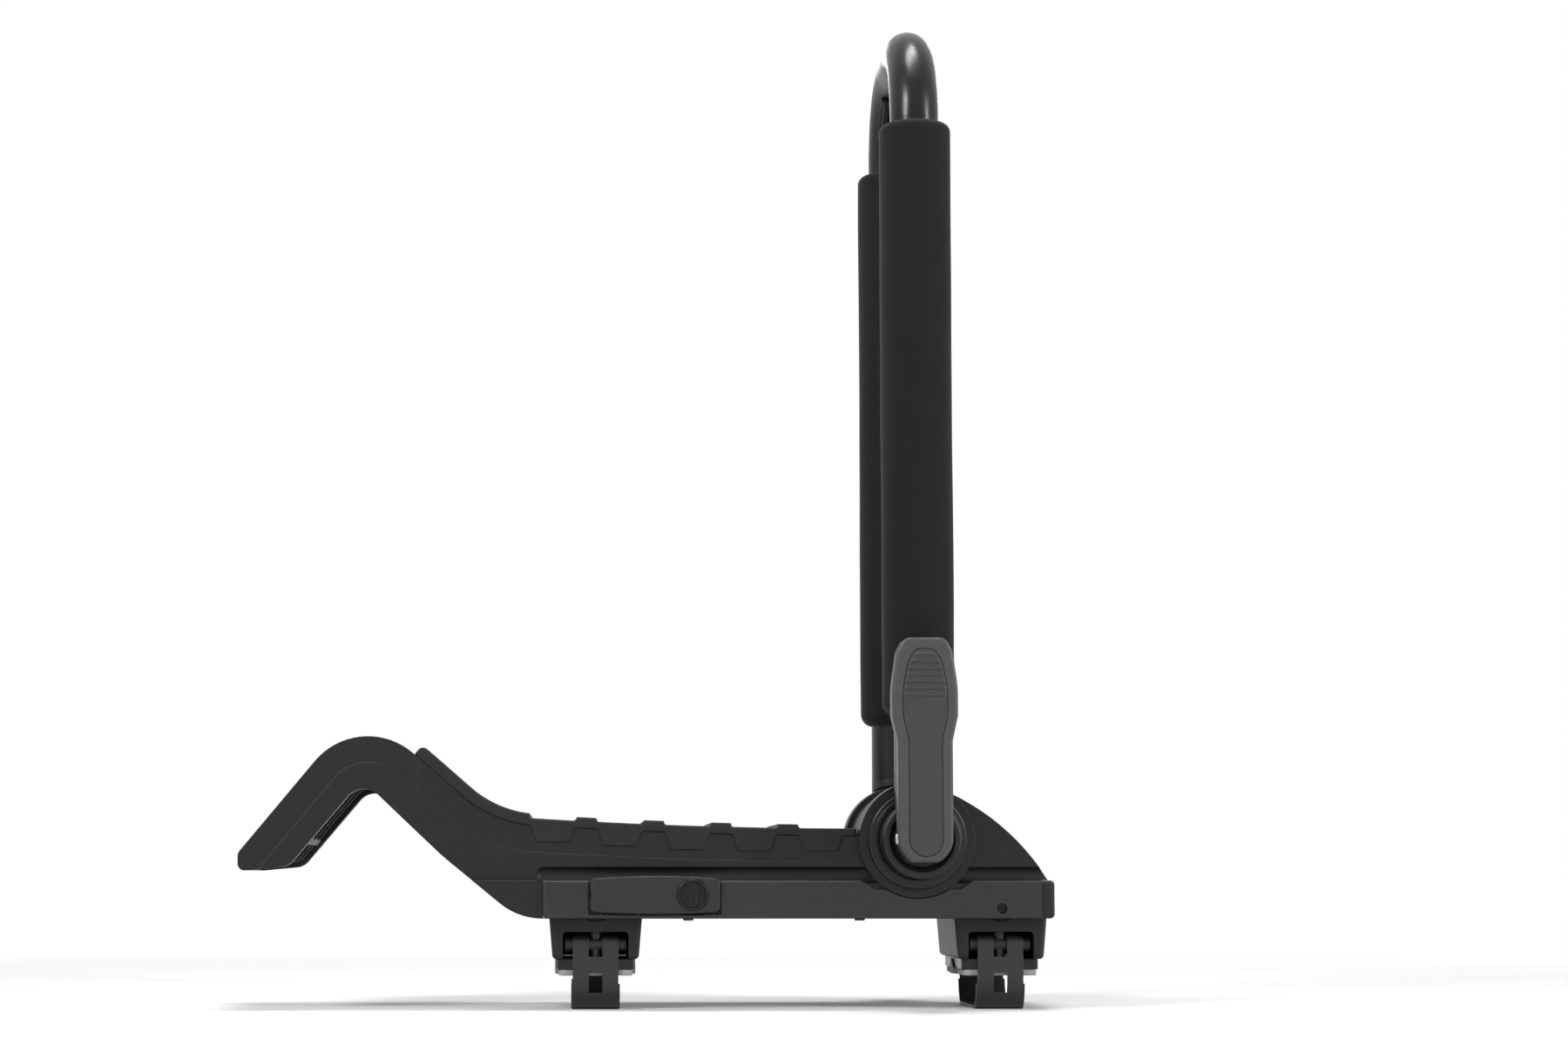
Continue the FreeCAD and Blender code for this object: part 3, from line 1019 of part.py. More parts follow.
def make_lever():
    """Cam lever: a shell with a grip, its lower end round in front view and a cam from the side."""
    upper = plate_xz(lever_outline(0.0, 0.0, LEVER_END_RISE), -LEVER_FRONT_Y, -LEVER_BACK_Y)
    centre = (PIVOT_X, -LEVER_FRONT_Y, PIVOT_Z + LEVER_END_RISE)
    round_end = rod(LEVER_SHANK_HALF, centre, Y_AXIS, LEVER_FRONT_Y - LEVER_BACK_Y)
    plate = fuse([upper, round_end])
    front = [e for e in plate.Edges if e.BoundBox.YMax < -LEVER_FRONT_Y + 0.05]
    plate = plate.makeFillet(LEVER_EDGE_R, front)
    lower = box(PIVOT_X - 40, PIVOT_X + 40, -LEVER_FRONT_Y - 20, 0, 0, PIVOT_Z)
    end_part = plate.common(lower).common(cam_barrel(LEVER_SHANK_HALF + 5, 0.0))
    plate = fuse([plate.cut(lower), end_part])
    cam = cam_barrel(CAM_HALF, 0.0)
    prism = rod(LEVER_SHANK_HALF, (PIVOT_X, -LEVER_FRONT_Y, PIVOT_Z + LEVER_END_RISE), Y_AXIS, 60)
    tall = box(PIVOT_X - CAM_HALF, PIVOT_X + CAM_HALF, -LEVER_FRONT_Y, 0, PIVOT_Z, PIVOT_Z + 40)
    cam = cam.common(fuse([prism, tall]))
    ear_half = LEVER_SHANK_HALF - 0.6
    ear_y = LEVER_BACK_Y - 1.0
    ear_r = CROSS_PIN_R + 2.0
    ears = rod(ear_r, (PIVOT_X - ear_half, -cam_axis_y(), PIVOT_Z), X_AXIS, 2 * ear_half)
    ears = ears.common(box(0, 400, -LEVER_FRONT_Y + 1, -ear_y + 4, 0, 300))
    body = fuse([plate, cam, ears])
    # Slot for the rod's eye, open to the back and below
    eye_half = ROD_EYE_HALF + SLIDE_GAP
    eye_room = rod_eye_r() + SLIDE_GAP
    slot = box(PIVOT_X - eye_half, PIVOT_X + eye_half, -cam_axis_y() - eye_room, 0,
               PIVOT_Z - 40, PIVOT_Z + eye_room)
    pin_hole = rod(CROSS_PIN_R + RUN_FIT, (PIVOT_X - 40, -cam_axis_y(), PIVOT_Z), X_AXIS, 80)
    # Hollow back of the shank and grip
    hollow = plate_xz(lever_outline(LEVER_WALL, LEVER_WALL, 26.0),
                      -LEVER_FRONT_Y + LEVER_WALL + INSERT_T, 0)
    ribs = []
    for rise in LEVER_RIB_RISES:
        ribs.append(box(0, 400, -LEVER_FRONT_Y, 0, PIVOT_Z + rise, PIVOT_Z + rise + LEVER_RIB_T))
    ribs.append(box(PIVOT_X - LEVER_RIB_T / 2, PIVOT_X + LEVER_RIB_T / 2, -LEVER_FRONT_Y, 0, 0, 300))
    hollow = hollow.cut(fuse(ribs))
    return cut(body, [slot, pin_hole, hollow, insert_seat()])


def insert_outline(inset):
    """Front view of the insert; it follows the lever inside its rim."""
    rim = 6.6 + inset
    foot_z = PIVOT_Z - 11.6 + inset
    foot_r = LEVER_SHANK_HALF - rim
    outline = lever_outline(rim, rim + 0.4, 0.0)
    half = len(outline) // 2
    foot = [(PIVOT_X - foot_r, foot_z, foot_r * 0.98), (PIVOT_X + foot_r, foot_z, foot_r * 0.98)]
    return outline[1:half] + outline[half:-1] + foot


def insert_seat():
    return plate_xz(insert_outline(0.0), -LEVER_FRONT_Y - 1, -LEVER_FRONT_Y + INSERT_T)


def make_lever_insert():
    """Soft panel set in the lever's face, with the grip's cross ribs."""
    back = -LEVER_FRONT_Y + INSERT_T
    face_y = -LEVER_FRONT_Y - INSERT_PROUD
    panel = plate_xz(insert_outline(INSERT_GAP), face_y, back)
    ribs = []
    for k in range(GRIP_RIB_COUNT):
        z = PIVOT_Z + GRIP_RIB_FIRST + k * GRIP_RIB_PITCH
        ribs.append(box(PIVOT_X - GRIP_RIB_HALF, PIVOT_X + GRIP_RIB_HALF,
                        face_y - GRIP_RIB_H, back, z - GRIP_RIB_W / 2, z + GRIP_RIB_W / 2))
    room = plate_xz(insert_outline(INSERT_GAP + 1.0), face_y - 5, back)
    return fuse([panel, fuse(ribs).common(room)])


def rod_eye_r():
    return CROSS_PIN_R + ROD_EYE_WALL


def rod_rear_y():
    return KNUCKLE_OUT + END_WASHER_T + SLIDE_GAP + END_NUT_H + THREAD_PAST_NUT


def make_pivot_rod():
    """Draw rod through the hub: an eye for the cross pin in front, a thread for the nut behind."""
    pin_y = -cam_axis_y()
    shank = rod(ROD_R, (PIVOT_X, pin_y + 4, PIVOT_Z), Y_AXIS, rod_rear_y() - pin_y - 4)
    shank = shank.makeChamfer(1.0, [e for e in shank.Edges if e.BoundBox.YMin > rod_rear_y() - 0.1])
    eye = rod(rod_eye_r(), (PIVOT_X - ROD_EYE_HALF, pin_y, PIVOT_Z), X_AXIS, 2 * ROD_EYE_HALF)
    whole = fuse([shank, eye])
    return whole.cut(rod(CROSS_PIN_R + PRESS_GAP, (PIVOT_X - 20, pin_y, PIVOT_Z), X_AXIS, 40))


def make_cross_pin():
    left = PIVOT_X - LEVER_SHANK_HALF - CROSS_PIN_PROUD
    length = 2 * LEVER_SHANK_HALF + CROSS_PIN_PROUD - CROSS_PIN_SUNK
    pin = rod(CROSS_PIN_R, (left, -cam_axis_y(), PIVOT_Z), X_AXIS, length)
    return pin.makeChamfer(0.5, [e for e in pin.Edges if e.BoundBox.XLength < 0.1])


def make_cam_seat():
    """Hard washer in the front knuckle's bowl that the cam bears on."""
    outer = pivot_cylinder(SEAT_WASHER_R, -SEAT_Y, -SEAT_Y + SEAT_WASHER_T)
    return outer.cut(pivot_cylinder(ROD_R + RUN_FIT, -SEAT_Y - 1, 0))


def make_end_washer():
    y0 = KNUCKLE_OUT + SLIDE_GAP
    return pivot_cylinder(END_WASHER_R, y0, y0 + END_WASHER_T).cut(pivot_cylinder(ROD_R + PRESS_GAP, 0, y0 + 9))


def make_end_nut():
    """Flanged lock nut on the rod's rear end."""
    y0 = KNUCKLE_OUT + SLIDE_GAP + END_WASHER_T
    nut = hex_bar(END_NUT_AF, (PIVOT_X, y0, PIVOT_Z), Y_AXIS, END_NUT_H)
    turned = pivot_cylinder(END_NUT_AF / math.sqrt(3), y0, y0 + END_NUT_H)
    turned = turned.makeChamfer(1.4, [e for e in turned.Edges if e.BoundBox.YLength < 0.1])
    nut = nut.common(turned)
    return nut.cut(pivot_cylinder(ROD_R + PRESS_GAP, 0, y0 + END_NUT_H + 1))


def make_bowl_cover():
    """Plug that closes the rear knuckle's bowl under the washer."""
    plug = pivot_cylinder(KNUCKLE_BOWL_R - PRESS_GAP, SEAT_Y - SEAT_WASHER_T, KNUCKLE_OUT)
    return plug.cut(pivot_cylinder(ROD_R + RUN_FIT, 0, KNUCKLE_OUT + 1))


def cover_axis():
    return (COVER_X0 + COVER_BARREL_R, -COVER_FRONT_Y + COVER_BARREL_R)


def make_lock_cover():
    """Cover over the front of the tray, hinged at its left end, with a hole for the lock."""
    ax, ay = cover_axis()
    back_y = -RAIL_HALF_DEPTH + RAIL_WALL - SLIDE_GAP
    mid_x = (COVER_X0 + COVER_X1) / 2
    length = COVER_X1 - COVER_X0
    bulge_r = (length ** 2 / 4 + COVER_BULGE ** 2) / (2 * COVER_BULGE)
    tall = plate_xz([(ax, COVER_Z0 - COVER_BULGE, 0.0), (COVER_X1, COVER_Z0 - COVER_BULGE, 0.0),
                     (COVER_X1, COVER_Z1 + COVER_BULGE, 0.0), (ax, COVER_Z1 + COVER_BULGE, 0.0)],
                    -COVER_FRONT_Y, back_y)
    upper = rod(bulge_r, (mid_x, -100, COVER_Z1 + COVER_BULGE - bulge_r), Y_AXIS, 200)
    lower = rod(bulge_r, (mid_x, -100, COVER_Z0 - COVER_BULGE + bulge_r), Y_AXIS, 200)
    plate = tall.common(upper).common(lower)
    ends = [e for e in plate.Edges if e.BoundBox.XMin > COVER_X1 - 0.1 and e.BoundBox.YLength > 4]
    plate = plate.makeFillet(COVER_CORNER_R, ends)
    front = [e for e in plate.Edges if e.BoundBox.YMax < -COVER_FRONT_Y + 0.05
             and e.BoundBox.XMax > ax + 1]
    plate = plate.makeFillet(1.0, front)
    hollow = box(ax + COVER_BARREL_R + 1.5, COVER_X1 - COVER_WALL, -COVER_FRONT_Y + COVER_WALL, back_y + 1,
                 COVER_Z0 + COVER_WALL, COVER_Z1 - COVER_WALL)
    post = rod(BEZEL_R + 1.0, (LOCK_X, -COVER_FRONT_Y, LOCK_Z), Y_AXIS, COVER_FRONT_Y + back_y)
    post = post.common(plate)
    plate = plate.cut(hollow.cut(post))
    barrel = rod(COVER_BARREL_R, (ax, ay, COVER_Z0), Z_AXIS, COVER_Z1 - COVER_Z0)
    behind = box(ax - 10, ax + COVER_BARREL_R + 1.5, ay, 0, 0, 200)
    lug_half = HINGE_LUG_H / 2 + SLIDE_GAP
    mid_z = (COVER_Z0 + COVER_Z1) / 2
    lug_room = rod(HINGE_LUG_R + SLIDE_GAP, (ax, ay, mid_z - lug_half), Z_AXIS, 2 * lug_half)
    neck_half = hinge_neck_half() + SLIDE_GAP
    room_r = COVER_BARREL_R + 2.0
    # Room that the neck sweeps as the cover opens, seen from above
    shut = [V(ax + neck_half, ay, 0), V(ax + neck_half, ay + room_r, 0)]
    swing = math.radians(COVER_SWING)
    away = V(-math.sin(swing), math.cos(swing), 0)
    beside = V(-away.y, away.x, 0)
    axis_at = V(ax, ay, 0)
    corners = shut + [axis_at + (away + V(0, 1, 0)).normalize() * (room_r * 1.6),
                      axis_at + away * room_r + beside * neck_half, axis_at + beside * neck_half]
    outline = [V(c.x, c.y, mid_z - lug_half) for c in corners + corners[:1]]
    neck_room = Part.Face(Part.makePolygon(outline)).extrude(V(0, 0, 2 * lug_half))
    pin_way = rod(HINGE_PIN_R + RUN_FIT, (ax, ay, 0), Z_AXIS, 200)
    lock_way_front = rod(BEZEL_R + PRESS_GAP, (LOCK_X, -COVER_FRONT_Y - 1, LOCK_Z), Y_AXIS, 3.0)
    barrel_way = rod(PLUG_R + 0.4, (LOCK_X, -COVER_FRONT_Y - 1, LOCK_Z), Y_AXIS, 20)
    pieces = []
    for piece in (plate.cut(behind), barrel):
        pieces.append(cut(piece, [neck_room, lug_room, pin_way, lock_way_front, barrel_way]))
    cover = fuse(pieces)
    r = COVER_CORNER_R
    for z, inward in ((COVER_Z0, 1), (COVER_Z1, -1)):
        square = box(COVER_X0 - 1, COVER_X0 + r, -100, 0, min(z - inward, z + inward * r), max(z - inward, z + inward * r))
        cover = cover.cut(square.cut(rod(r, (COVER_X0 + r, -100, z + inward * r), Y_AXIS, 100)))
    return cover


def hinge_neck_half():
    return HINGE_LUG_R * 0.7


def make_cover_hinge():
    """Bracket on the body's side that carries the cover's hinge pin."""
    ax, ay = cover_axis()
    mid_z = (COVER_Z0 + COVER_Z1) / 2
    z0 = mid_z - HINGE_LUG_H / 2
    lug = rod(HINGE_LUG_R, (ax, ay, z0), Z_AXIS, HINGE_LUG_H)
    neck_half = hinge_neck_half()
    back_y = -HOOK_HALF_DEPTH - BODY_IN_RAIL_GAP / 2 + 0.2
    neck = box(ax - neck_half, ax + neck_half, ay, back_y, z0, z0 + HINGE_LUG_H)
    plate = box(ax - neck_half, ax + 9.0, back_y - 0.6, back_y, z0 - 3.0, z0 + HINGE_LUG_H + 3.0)
    bracket = fuse([lug, neck, plate])
    return bracket.cut(rod(HINGE_PIN_R + PRESS_GAP, (ax, ay, 0), Z_AXIS, 200))


def make_cover_hinge_pin():
    ax, ay = cover_axis()
    return rod(HINGE_PIN_R, (ax, ay, COVER_Z0 + 0.6), Z_AXIS, COVER_Z1 - COVER_Z0 - 1.2)


def make_lock_bezel():
    y0 = -COVER_FRONT_Y - BEZEL_PROUD
    outer = rod(BEZEL_R, (LOCK_X, y0, LOCK_Z), Y_AXIS, BEZEL_PROUD + 2.0)
    outer = outer.makeFillet(0.8, [e for e in outer.Edges if e.BoundBox.YMax < y0 + 0.1 and e.Length > 10])
    return outer.cut(rod(PLUG_R + 0.2, (LOCK_X, y0 - 1, LOCK_Z), Y_AXIS, 10))


def lock_tongue_y():
    return -(WAIST_HALF_DEPTH - BAND_STEP - SHELL_WALL) + 1.2


def make_lock_plug():
    """Turning plug with its grip bar and the barrel that carries the tongue."""
    y0 = -COVER_FRONT_Y - PLUG_PROUD
    face_y = -COVER_FRONT_Y + PLUG_RECESS
    disc = rod(PLUG_R, (LOCK_X, face_y, LOCK_Z), Y_AXIS, PLUG_DISC_T)
    bar = plate_xz([(LOCK_X - PLUG_GRIP_W / 2, LOCK_Z - PLUG_GRIP_L / 2, 1.9),
                    (LOCK_X + PLUG_GRIP_W / 2, LOCK_Z - PLUG_GRIP_L / 2, 1.9),
                    (LOCK_X + PLUG_GRIP_W / 2, LOCK_Z + PLUG_GRIP_L / 2, 1.9),
                    (LOCK_X - PLUG_GRIP_W / 2, LOCK_Z + PLUG_GRIP_L / 2, 1.9)], y0, face_y + 1)
    barrel_y = face_y + 1
    barrel = rod(LOCK_BARREL_R, (LOCK_X, barrel_y, LOCK_Z), Y_AXIS, lock_tongue_y() - barrel_y)
    return fuse([disc, bar, barrel])


def make_lock_tongue():
    y = lock_tongue_y()
    return box(LOCK_X - TONGUE_W / 2, LOCK_X + TONGUE_W / 2, y, y + TONGUE_T,
               LOCK_Z - TONGUE_HALF, LOCK_Z + TONGUE_HALF)


def parts():
    """Every node's name and shape."""
    left, right = clamp_xs()
    named = {
        "saddle_shell": make_saddle_shell(),
        "saddle_pad": make_saddle_pad(),
        "base_rail": make_base_rail(),
        "rail_end_cap": make_rail_end_cap(),
        "rail_screws": make_rail_screws(),
        "housing_screws": make_housing_screws(),
        "pivot_sleeve": make_pivot_sleeve(),
        "arm_tube": make_arm_tube(),
        "leg_rivets": make_leg_rivets(),
        "strap_keeper": make_strap_keeper(),
        "cam_seat": make_cam_seat(),
        "rear_bowl_plug": make_bowl_cover(),
        "lever": make_lever(),
        "lever_insert": make_lever_insert(),
        "cross_pin": make_cross_pin(),
        "pivot_rod": make_pivot_rod(),
        "end_washer": make_end_washer(),
        "end_nut": make_end_nut(),
        "lock_cover": make_lock_cover(),
        "cover_hinge": make_cover_hinge(),
        "cover_hinge_pin": make_cover_hinge_pin(),
        "lock_bezel": make_lock_bezel(),
        "lock_plug": make_lock_plug(),
        "lock_tongue": make_lock_tongue(),
    }
    for name, sign in (("front", -1), ("rear", 1)):
        named["hub_ring_" + name] = make_hub_ring(sign)
        named["friction_disc_" + name] = make_friction_disc(sign)
        named["knuckle_" + name] = make_knuckle(sign)
        named["foam_sleeve_" + name] = make_foam_sleeve(sign)
    for name, x in (("left", left), ("right", right)):
        named["clamp_housing_" + name] = make_clamp_housing(x)
        named["clamp_block_" + name] = make_clamp_block(x)
        named["bar_pad_" + name] = make_bar_pad(x)
        named["strap_" + name] = make_strap(x)
        named["barrel_nut_" + name] = make_barrel_nut(x)
        named["tension_bolt_" + name] = make_tension_bolt(x)
        named["thrust_washer_" + name] = make_thrust_washer(x)
        named["strap_anchor_" + name] = make_strap_anchor(x)
    return named


def main():
    os.makedirs("parts", exist_ok=True)
    for name, shape in parts().items():
        shape.exportStep("parts/" + name + ".step")
        box_size = shape.BoundBox
        print(name, len(shape.Solids), shape.isValid(), round(shape.Volume / 1000, 2),
              round(box_size.XLength, 1), round(box_size.YLength, 1), round(box_size.ZLength, 1))


main()
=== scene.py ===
import bmesh
import bpy
import json
import math
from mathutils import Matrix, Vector, noise


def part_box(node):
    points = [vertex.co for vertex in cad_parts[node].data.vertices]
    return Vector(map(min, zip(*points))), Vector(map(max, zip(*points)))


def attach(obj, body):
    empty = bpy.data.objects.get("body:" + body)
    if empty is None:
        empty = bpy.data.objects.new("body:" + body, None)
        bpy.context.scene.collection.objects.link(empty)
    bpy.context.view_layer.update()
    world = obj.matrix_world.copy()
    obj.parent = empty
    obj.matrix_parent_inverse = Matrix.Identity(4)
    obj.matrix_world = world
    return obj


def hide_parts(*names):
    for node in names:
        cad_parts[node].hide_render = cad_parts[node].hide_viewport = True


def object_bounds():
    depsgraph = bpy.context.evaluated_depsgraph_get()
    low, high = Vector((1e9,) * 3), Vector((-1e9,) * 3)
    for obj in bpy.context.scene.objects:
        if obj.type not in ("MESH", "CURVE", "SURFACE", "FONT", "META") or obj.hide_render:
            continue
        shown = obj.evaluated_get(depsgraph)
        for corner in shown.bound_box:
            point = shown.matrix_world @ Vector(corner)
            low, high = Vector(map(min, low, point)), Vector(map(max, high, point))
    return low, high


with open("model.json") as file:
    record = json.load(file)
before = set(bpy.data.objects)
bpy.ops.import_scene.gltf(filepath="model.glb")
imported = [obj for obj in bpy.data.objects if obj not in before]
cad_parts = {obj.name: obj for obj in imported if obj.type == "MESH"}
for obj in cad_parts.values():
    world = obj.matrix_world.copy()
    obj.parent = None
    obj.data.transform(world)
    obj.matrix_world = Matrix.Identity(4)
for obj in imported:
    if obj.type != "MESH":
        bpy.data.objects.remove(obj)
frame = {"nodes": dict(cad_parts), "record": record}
cad_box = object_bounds()
nodes = frame["nodes"]
MM = 0.001


# Materials

NOISE_LOW = 0.3          # a noise lies mostly between these two values
NOISE_HIGH = 0.7
EDGE_SAMPLES = 6
# how steeply the painted edge highlight rises towards an edge
EDGE_HIGHLIGHT_GAIN = 4.0
FIRST_COLOUR, SECOND_COLOUR, MIXED_COLOUR = 6, 7, 2     # places of the colour sockets

class Recipe:
    """A material under construction: its node tree and its surface shader."""

    def __init__(self, name, rough, metallic=0.0, specular=0.5):
        self.material = bpy.data.materials.new(name)
        self.material.use_nodes = True
        self.tree = self.material.node_tree
        self.shader = self.tree.nodes["Principled BSDF"]
        self.shader.inputs["Metallic"].default_value = metallic
        self.shader.inputs["Specular IOR Level"].default_value = specular
        self.shader.inputs["Roughness"].default_value = rough
        self.place = self.tree.nodes.new("ShaderNodeTexCoord").outputs["Object"]

    def link(self, a, b):
        self.tree.links.new(a, b)

    def math(self, operation, a, b):
        node = self.tree.nodes.new("ShaderNodeMath")
        node.operation = operation
        for socket, value in zip(node.inputs, (a, b)):
            if isinstance(value, (int, float)):
                socket.default_value = value
            else:
                self.link(value, socket)
        return node.outputs[0]

    def stretched(self, stretch):
        node = self.tree.nodes.new("ShaderNodeMapping")
        node.inputs["Scale"].default_value = stretch
        self.link(self.place, node.inputs["Vector"])
        return node.outputs[0]

    def noise(self, size, detail=3.0, stretch=(1, 1, 1)):
        """Noise whose features are about size millimetres across."""
        node = self.tree.nodes.new("ShaderNodeTexNoise")
        node.inputs["Scale"].default_value = 1.0 / (size * MM)
        node.inputs["Detail"].default_value = detail
        self.link(self.stretched(stretch), node.inputs["Vector"])
        return node.outputs["Fac"]

    def cells(self, size):
        node = self.tree.nodes.new("ShaderNodeTexVoronoi")
        node.inputs["Scale"].default_value = 1.0 / (size * MM)
        self.link(self.place, node.inputs["Vector"])
        return node.outputs["Distance"]

    def spread(self, value, low, high):
        """The value's middle range laid out from low to high."""
        node = self.tree.nodes.new("ShaderNodeMapRange")
        node.inputs["From Min"].default_value = NOISE_LOW
        node.inputs["From Max"].default_value = NOISE_HIGH
        node.inputs["To Min"].default_value = low
        node.inputs["To Max"].default_value = high
        self.link(value, node.inputs["Value"])
        return node.outputs["Result"]

    def edge(self, radius):
        """Soft edge normal, and a mask that is 1 on edges, where a highlight is painted."""
        bevel = self.tree.nodes.new("ShaderNodeBevel")
        bevel.samples = EDGE_SAMPLES
        bevel.inputs["Radius"].default_value = radius * MM
        geometry = self.tree.nodes.new("ShaderNodeNewGeometry")
        dot = self.tree.nodes.new("ShaderNodeVectorMath")
        dot.operation = "DOT_PRODUCT"
        self.link(bevel.outputs[0], dot.inputs[0])
        self.link(geometry.outputs["Normal"], dot.inputs[1])
        off = self.math("SUBTRACT", 1.0, dot.outputs["Value"])
        return bevel.outputs[0], self.math("MULTIPLY", off, EDGE_HIGHLIGHT_GAIN)

    def colour(self, dark, pale, value):
        node = self.tree.nodes.new("ShaderNodeMix")
        node.data_type = "RGBA"
        node.clamp_factor = True
        self.link(value, node.inputs["Factor"])
        for socket, colour in ((node.inputs[FIRST_COLOUR], dark), (node.inputs[SECOND_COLOUR], pale)):
            if isinstance(colour, tuple):
                socket.default_value = (*colour, 1.0)
            else:
                self.link(colour, socket)
        mixed = node.outputs[MIXED_COLOUR]
        self.link(mixed, self.shader.inputs["Base Color"])
        return mixed

    def bump(self, height, depth, strength, normal=None):
        node = self.tree.nodes.new("ShaderNodeBump")
        node.inputs["Distance"].default_value = depth * MM
        node.inputs["Strength"].default_value = strength
        self.link(height, node.inputs["Height"])
        if normal is not None:
            self.link(normal, node.inputs["Normal"])
        self.link(node.outputs[0], self.shader.inputs["Normal"])
        return node.outputs[0]


def moulded_plastic(name, colour, rough, grain=0.5, depth=0.05, specular=0.4, edge=0.5, edge_highlight_gain=1.9):
    """Plastic with a fine spark-eroded grain, slight flow clouding and a painted highlight on its edges.
    """
    r = Recipe(name, rough, specular=specular)
    normal, edge_highlight = r.edge(edge)
    clouds = r.noise(38.0)
    mixed = r.colour(tuple(c * 0.94 for c in colour), tuple(c * 1.06 for c in colour), clouds)
    # edges painted paler: a painted highlight
    r.colour(mixed, tuple(c * edge_highlight_gain for c in colour), edge_highlight)
    r.link(r.spread(r.noise(11.0, 4.0), rough - 0.02, rough + 0.03), r.shader.inputs["Roughness"])
    normal = r.bump(r.noise(grain, 2.0), depth, 0.5, normal)
    r.bump(r.noise(grain * 5.0, 2.0), depth, 0.25, normal)
    return r.material


def foam():
    """Closed-cell foam: dull, with fine pores and long soft dents."""
    r = Recipe("black_foam", 0.85, specular=0.16)
    r.shader.inputs["Sheen Weight"].default_value = 0.08
    r.shader.inputs["Sheen Roughness"].default_value = 0.45
    r.colour((0.0060, 0.0060, 0.0063), (0.0095, 0.0095, 0.0099), r.noise(24.0, 5.0))
    normal = r.bump(r.cells(0.9), 0.12, 0.55)
    r.bump(r.noise(7.0, 4.0, (1, 1, 0.4)), 0.25, 0.35, normal)
    return r.material


def gloss_paint(name, colour, rough, peel=0.03):
    """Powder coat on tube: gloss with a faint orange peel."""
    r = Recipe(name, rough, specular=0.3)
    r.colour(colour, tuple(c * 1.6 for c in colour), r.noise(60.0))
    r.link(r.spread(r.noise(20.0, 4.0), rough * 0.8, rough * 1.35), r.shader.inputs["Roughness"])
    r.bump(r.noise(3.2, 1.0), peel, 0.4)
    return r.material


def anodised():
    """Black anodised extrusion: satin metal with fine draw lines along its length."""
    r = Recipe("black_anodised", 0.4, metallic=0.85, specular=0.4)
    normal, edge_highlight = r.edge(0.6)
    lines = r.noise(0.55, 3.0, (0.012, 1, 1))
    base = r.colour((0.034, 0.034, 0.036), (0.048, 0.048, 0.051), lines)
    # edges painted paler: a painted highlight
    r.colour(base, (0.20, 0.20, 0.21), edge_highlight)
    r.link(r.spread(r.noise(26.0, 4.0, (0.3, 1, 1)), 0.33, 0.46), r.shader.inputs["Roughness"])
    r.bump(lines, 0.02, 0.3, normal)
    return r.material


def zinc_plate():
    """Bright zinc on steel: bluish grey with faint clouding and turning marks."""
    r = Recipe("bright_zinc", 0.28, metallic=1.0)
    normal, edge_highlight = r.edge(0.3)
    base = r.colour((0.42, 0.43, 0.45), (0.66, 0.67, 0.69), r.noise(5.0, 5.0))
    # edges painted paler: a painted highlight
    r.colour(base, (0.8, 0.8, 0.82), edge_highlight)
    r.link(r.spread(r.noise(2.4, 4.0), 0.2, 0.38), r.shader.inputs["Roughness"])
    r.bump(r.noise(0.5, 2.0, (0.15, 1, 1)), 0.02, 0.3, normal)
    return r.material


def blackened_steel():
    """Steel with a black oxide finish: dark, half glossy, with a painted highlight on its edges."""
    r = Recipe("blackened_steel", 0.4, metallic=0.6, specular=0.4)
    normal, edge_highlight = r.edge(0.3)
    base = r.colour((0.018, 0.018, 0.019), (0.034, 0.034, 0.036), r.noise(4.0, 4.0))
    # edges painted paler: a painted highlight
    r.colour(base, (0.10, 0.10, 0.105), edge_highlight)
    r.link(r.spread(r.noise(3.0, 4.0), 0.34, 0.5), r.shader.inputs["Roughness"])
    r.bump(r.noise(0.6, 2.0), 0.02, 0.3, normal)
    return r.material


def rubber(name, colour, rough, specular=0.35):
    """Moulded rubber: matt, slightly dusty, with a soft grain."""
    r = Recipe(name, rough, specular=specular)
    base = r.colour(colour, tuple(c * 1.3 for c in colour), r.noise(16.0, 5.0))
    r.link(r.spread(r.noise(8.0, 4.0), rough - 0.07, rough + 0.07), r.shader.inputs["Roughness"])
    normal = r.bump(r.cells(0.7), 0.05, 0.4)
    r.bump(r.noise(3.5, 3.0), 0.06, 0.3, normal)
    return r.material


def coated_strap():
    """Steel strap with a satin coat: a slight ripple, and a painted highlight on its edge."""
    r = Recipe("coated_strap", 0.42, specular=0.45)
    normal, edge_highlight = r.edge(0.5)
    base = r.colour((0.0085, 0.0088, 0.0096), (0.0135, 0.0140, 0.0150), r.noise(9.0, 5.0))
    # edge painted paler: a painted highlight
    r.colour(base, (0.05, 0.05, 0.053), edge_highlight)
    r.link(r.spread(r.noise(6.0, 4.0), 0.34, 0.5), r.shader.inputs["Roughness"])
    r.bump(r.noise(1.6, 3.0), 0.05, 0.35, normal)
    return r.material


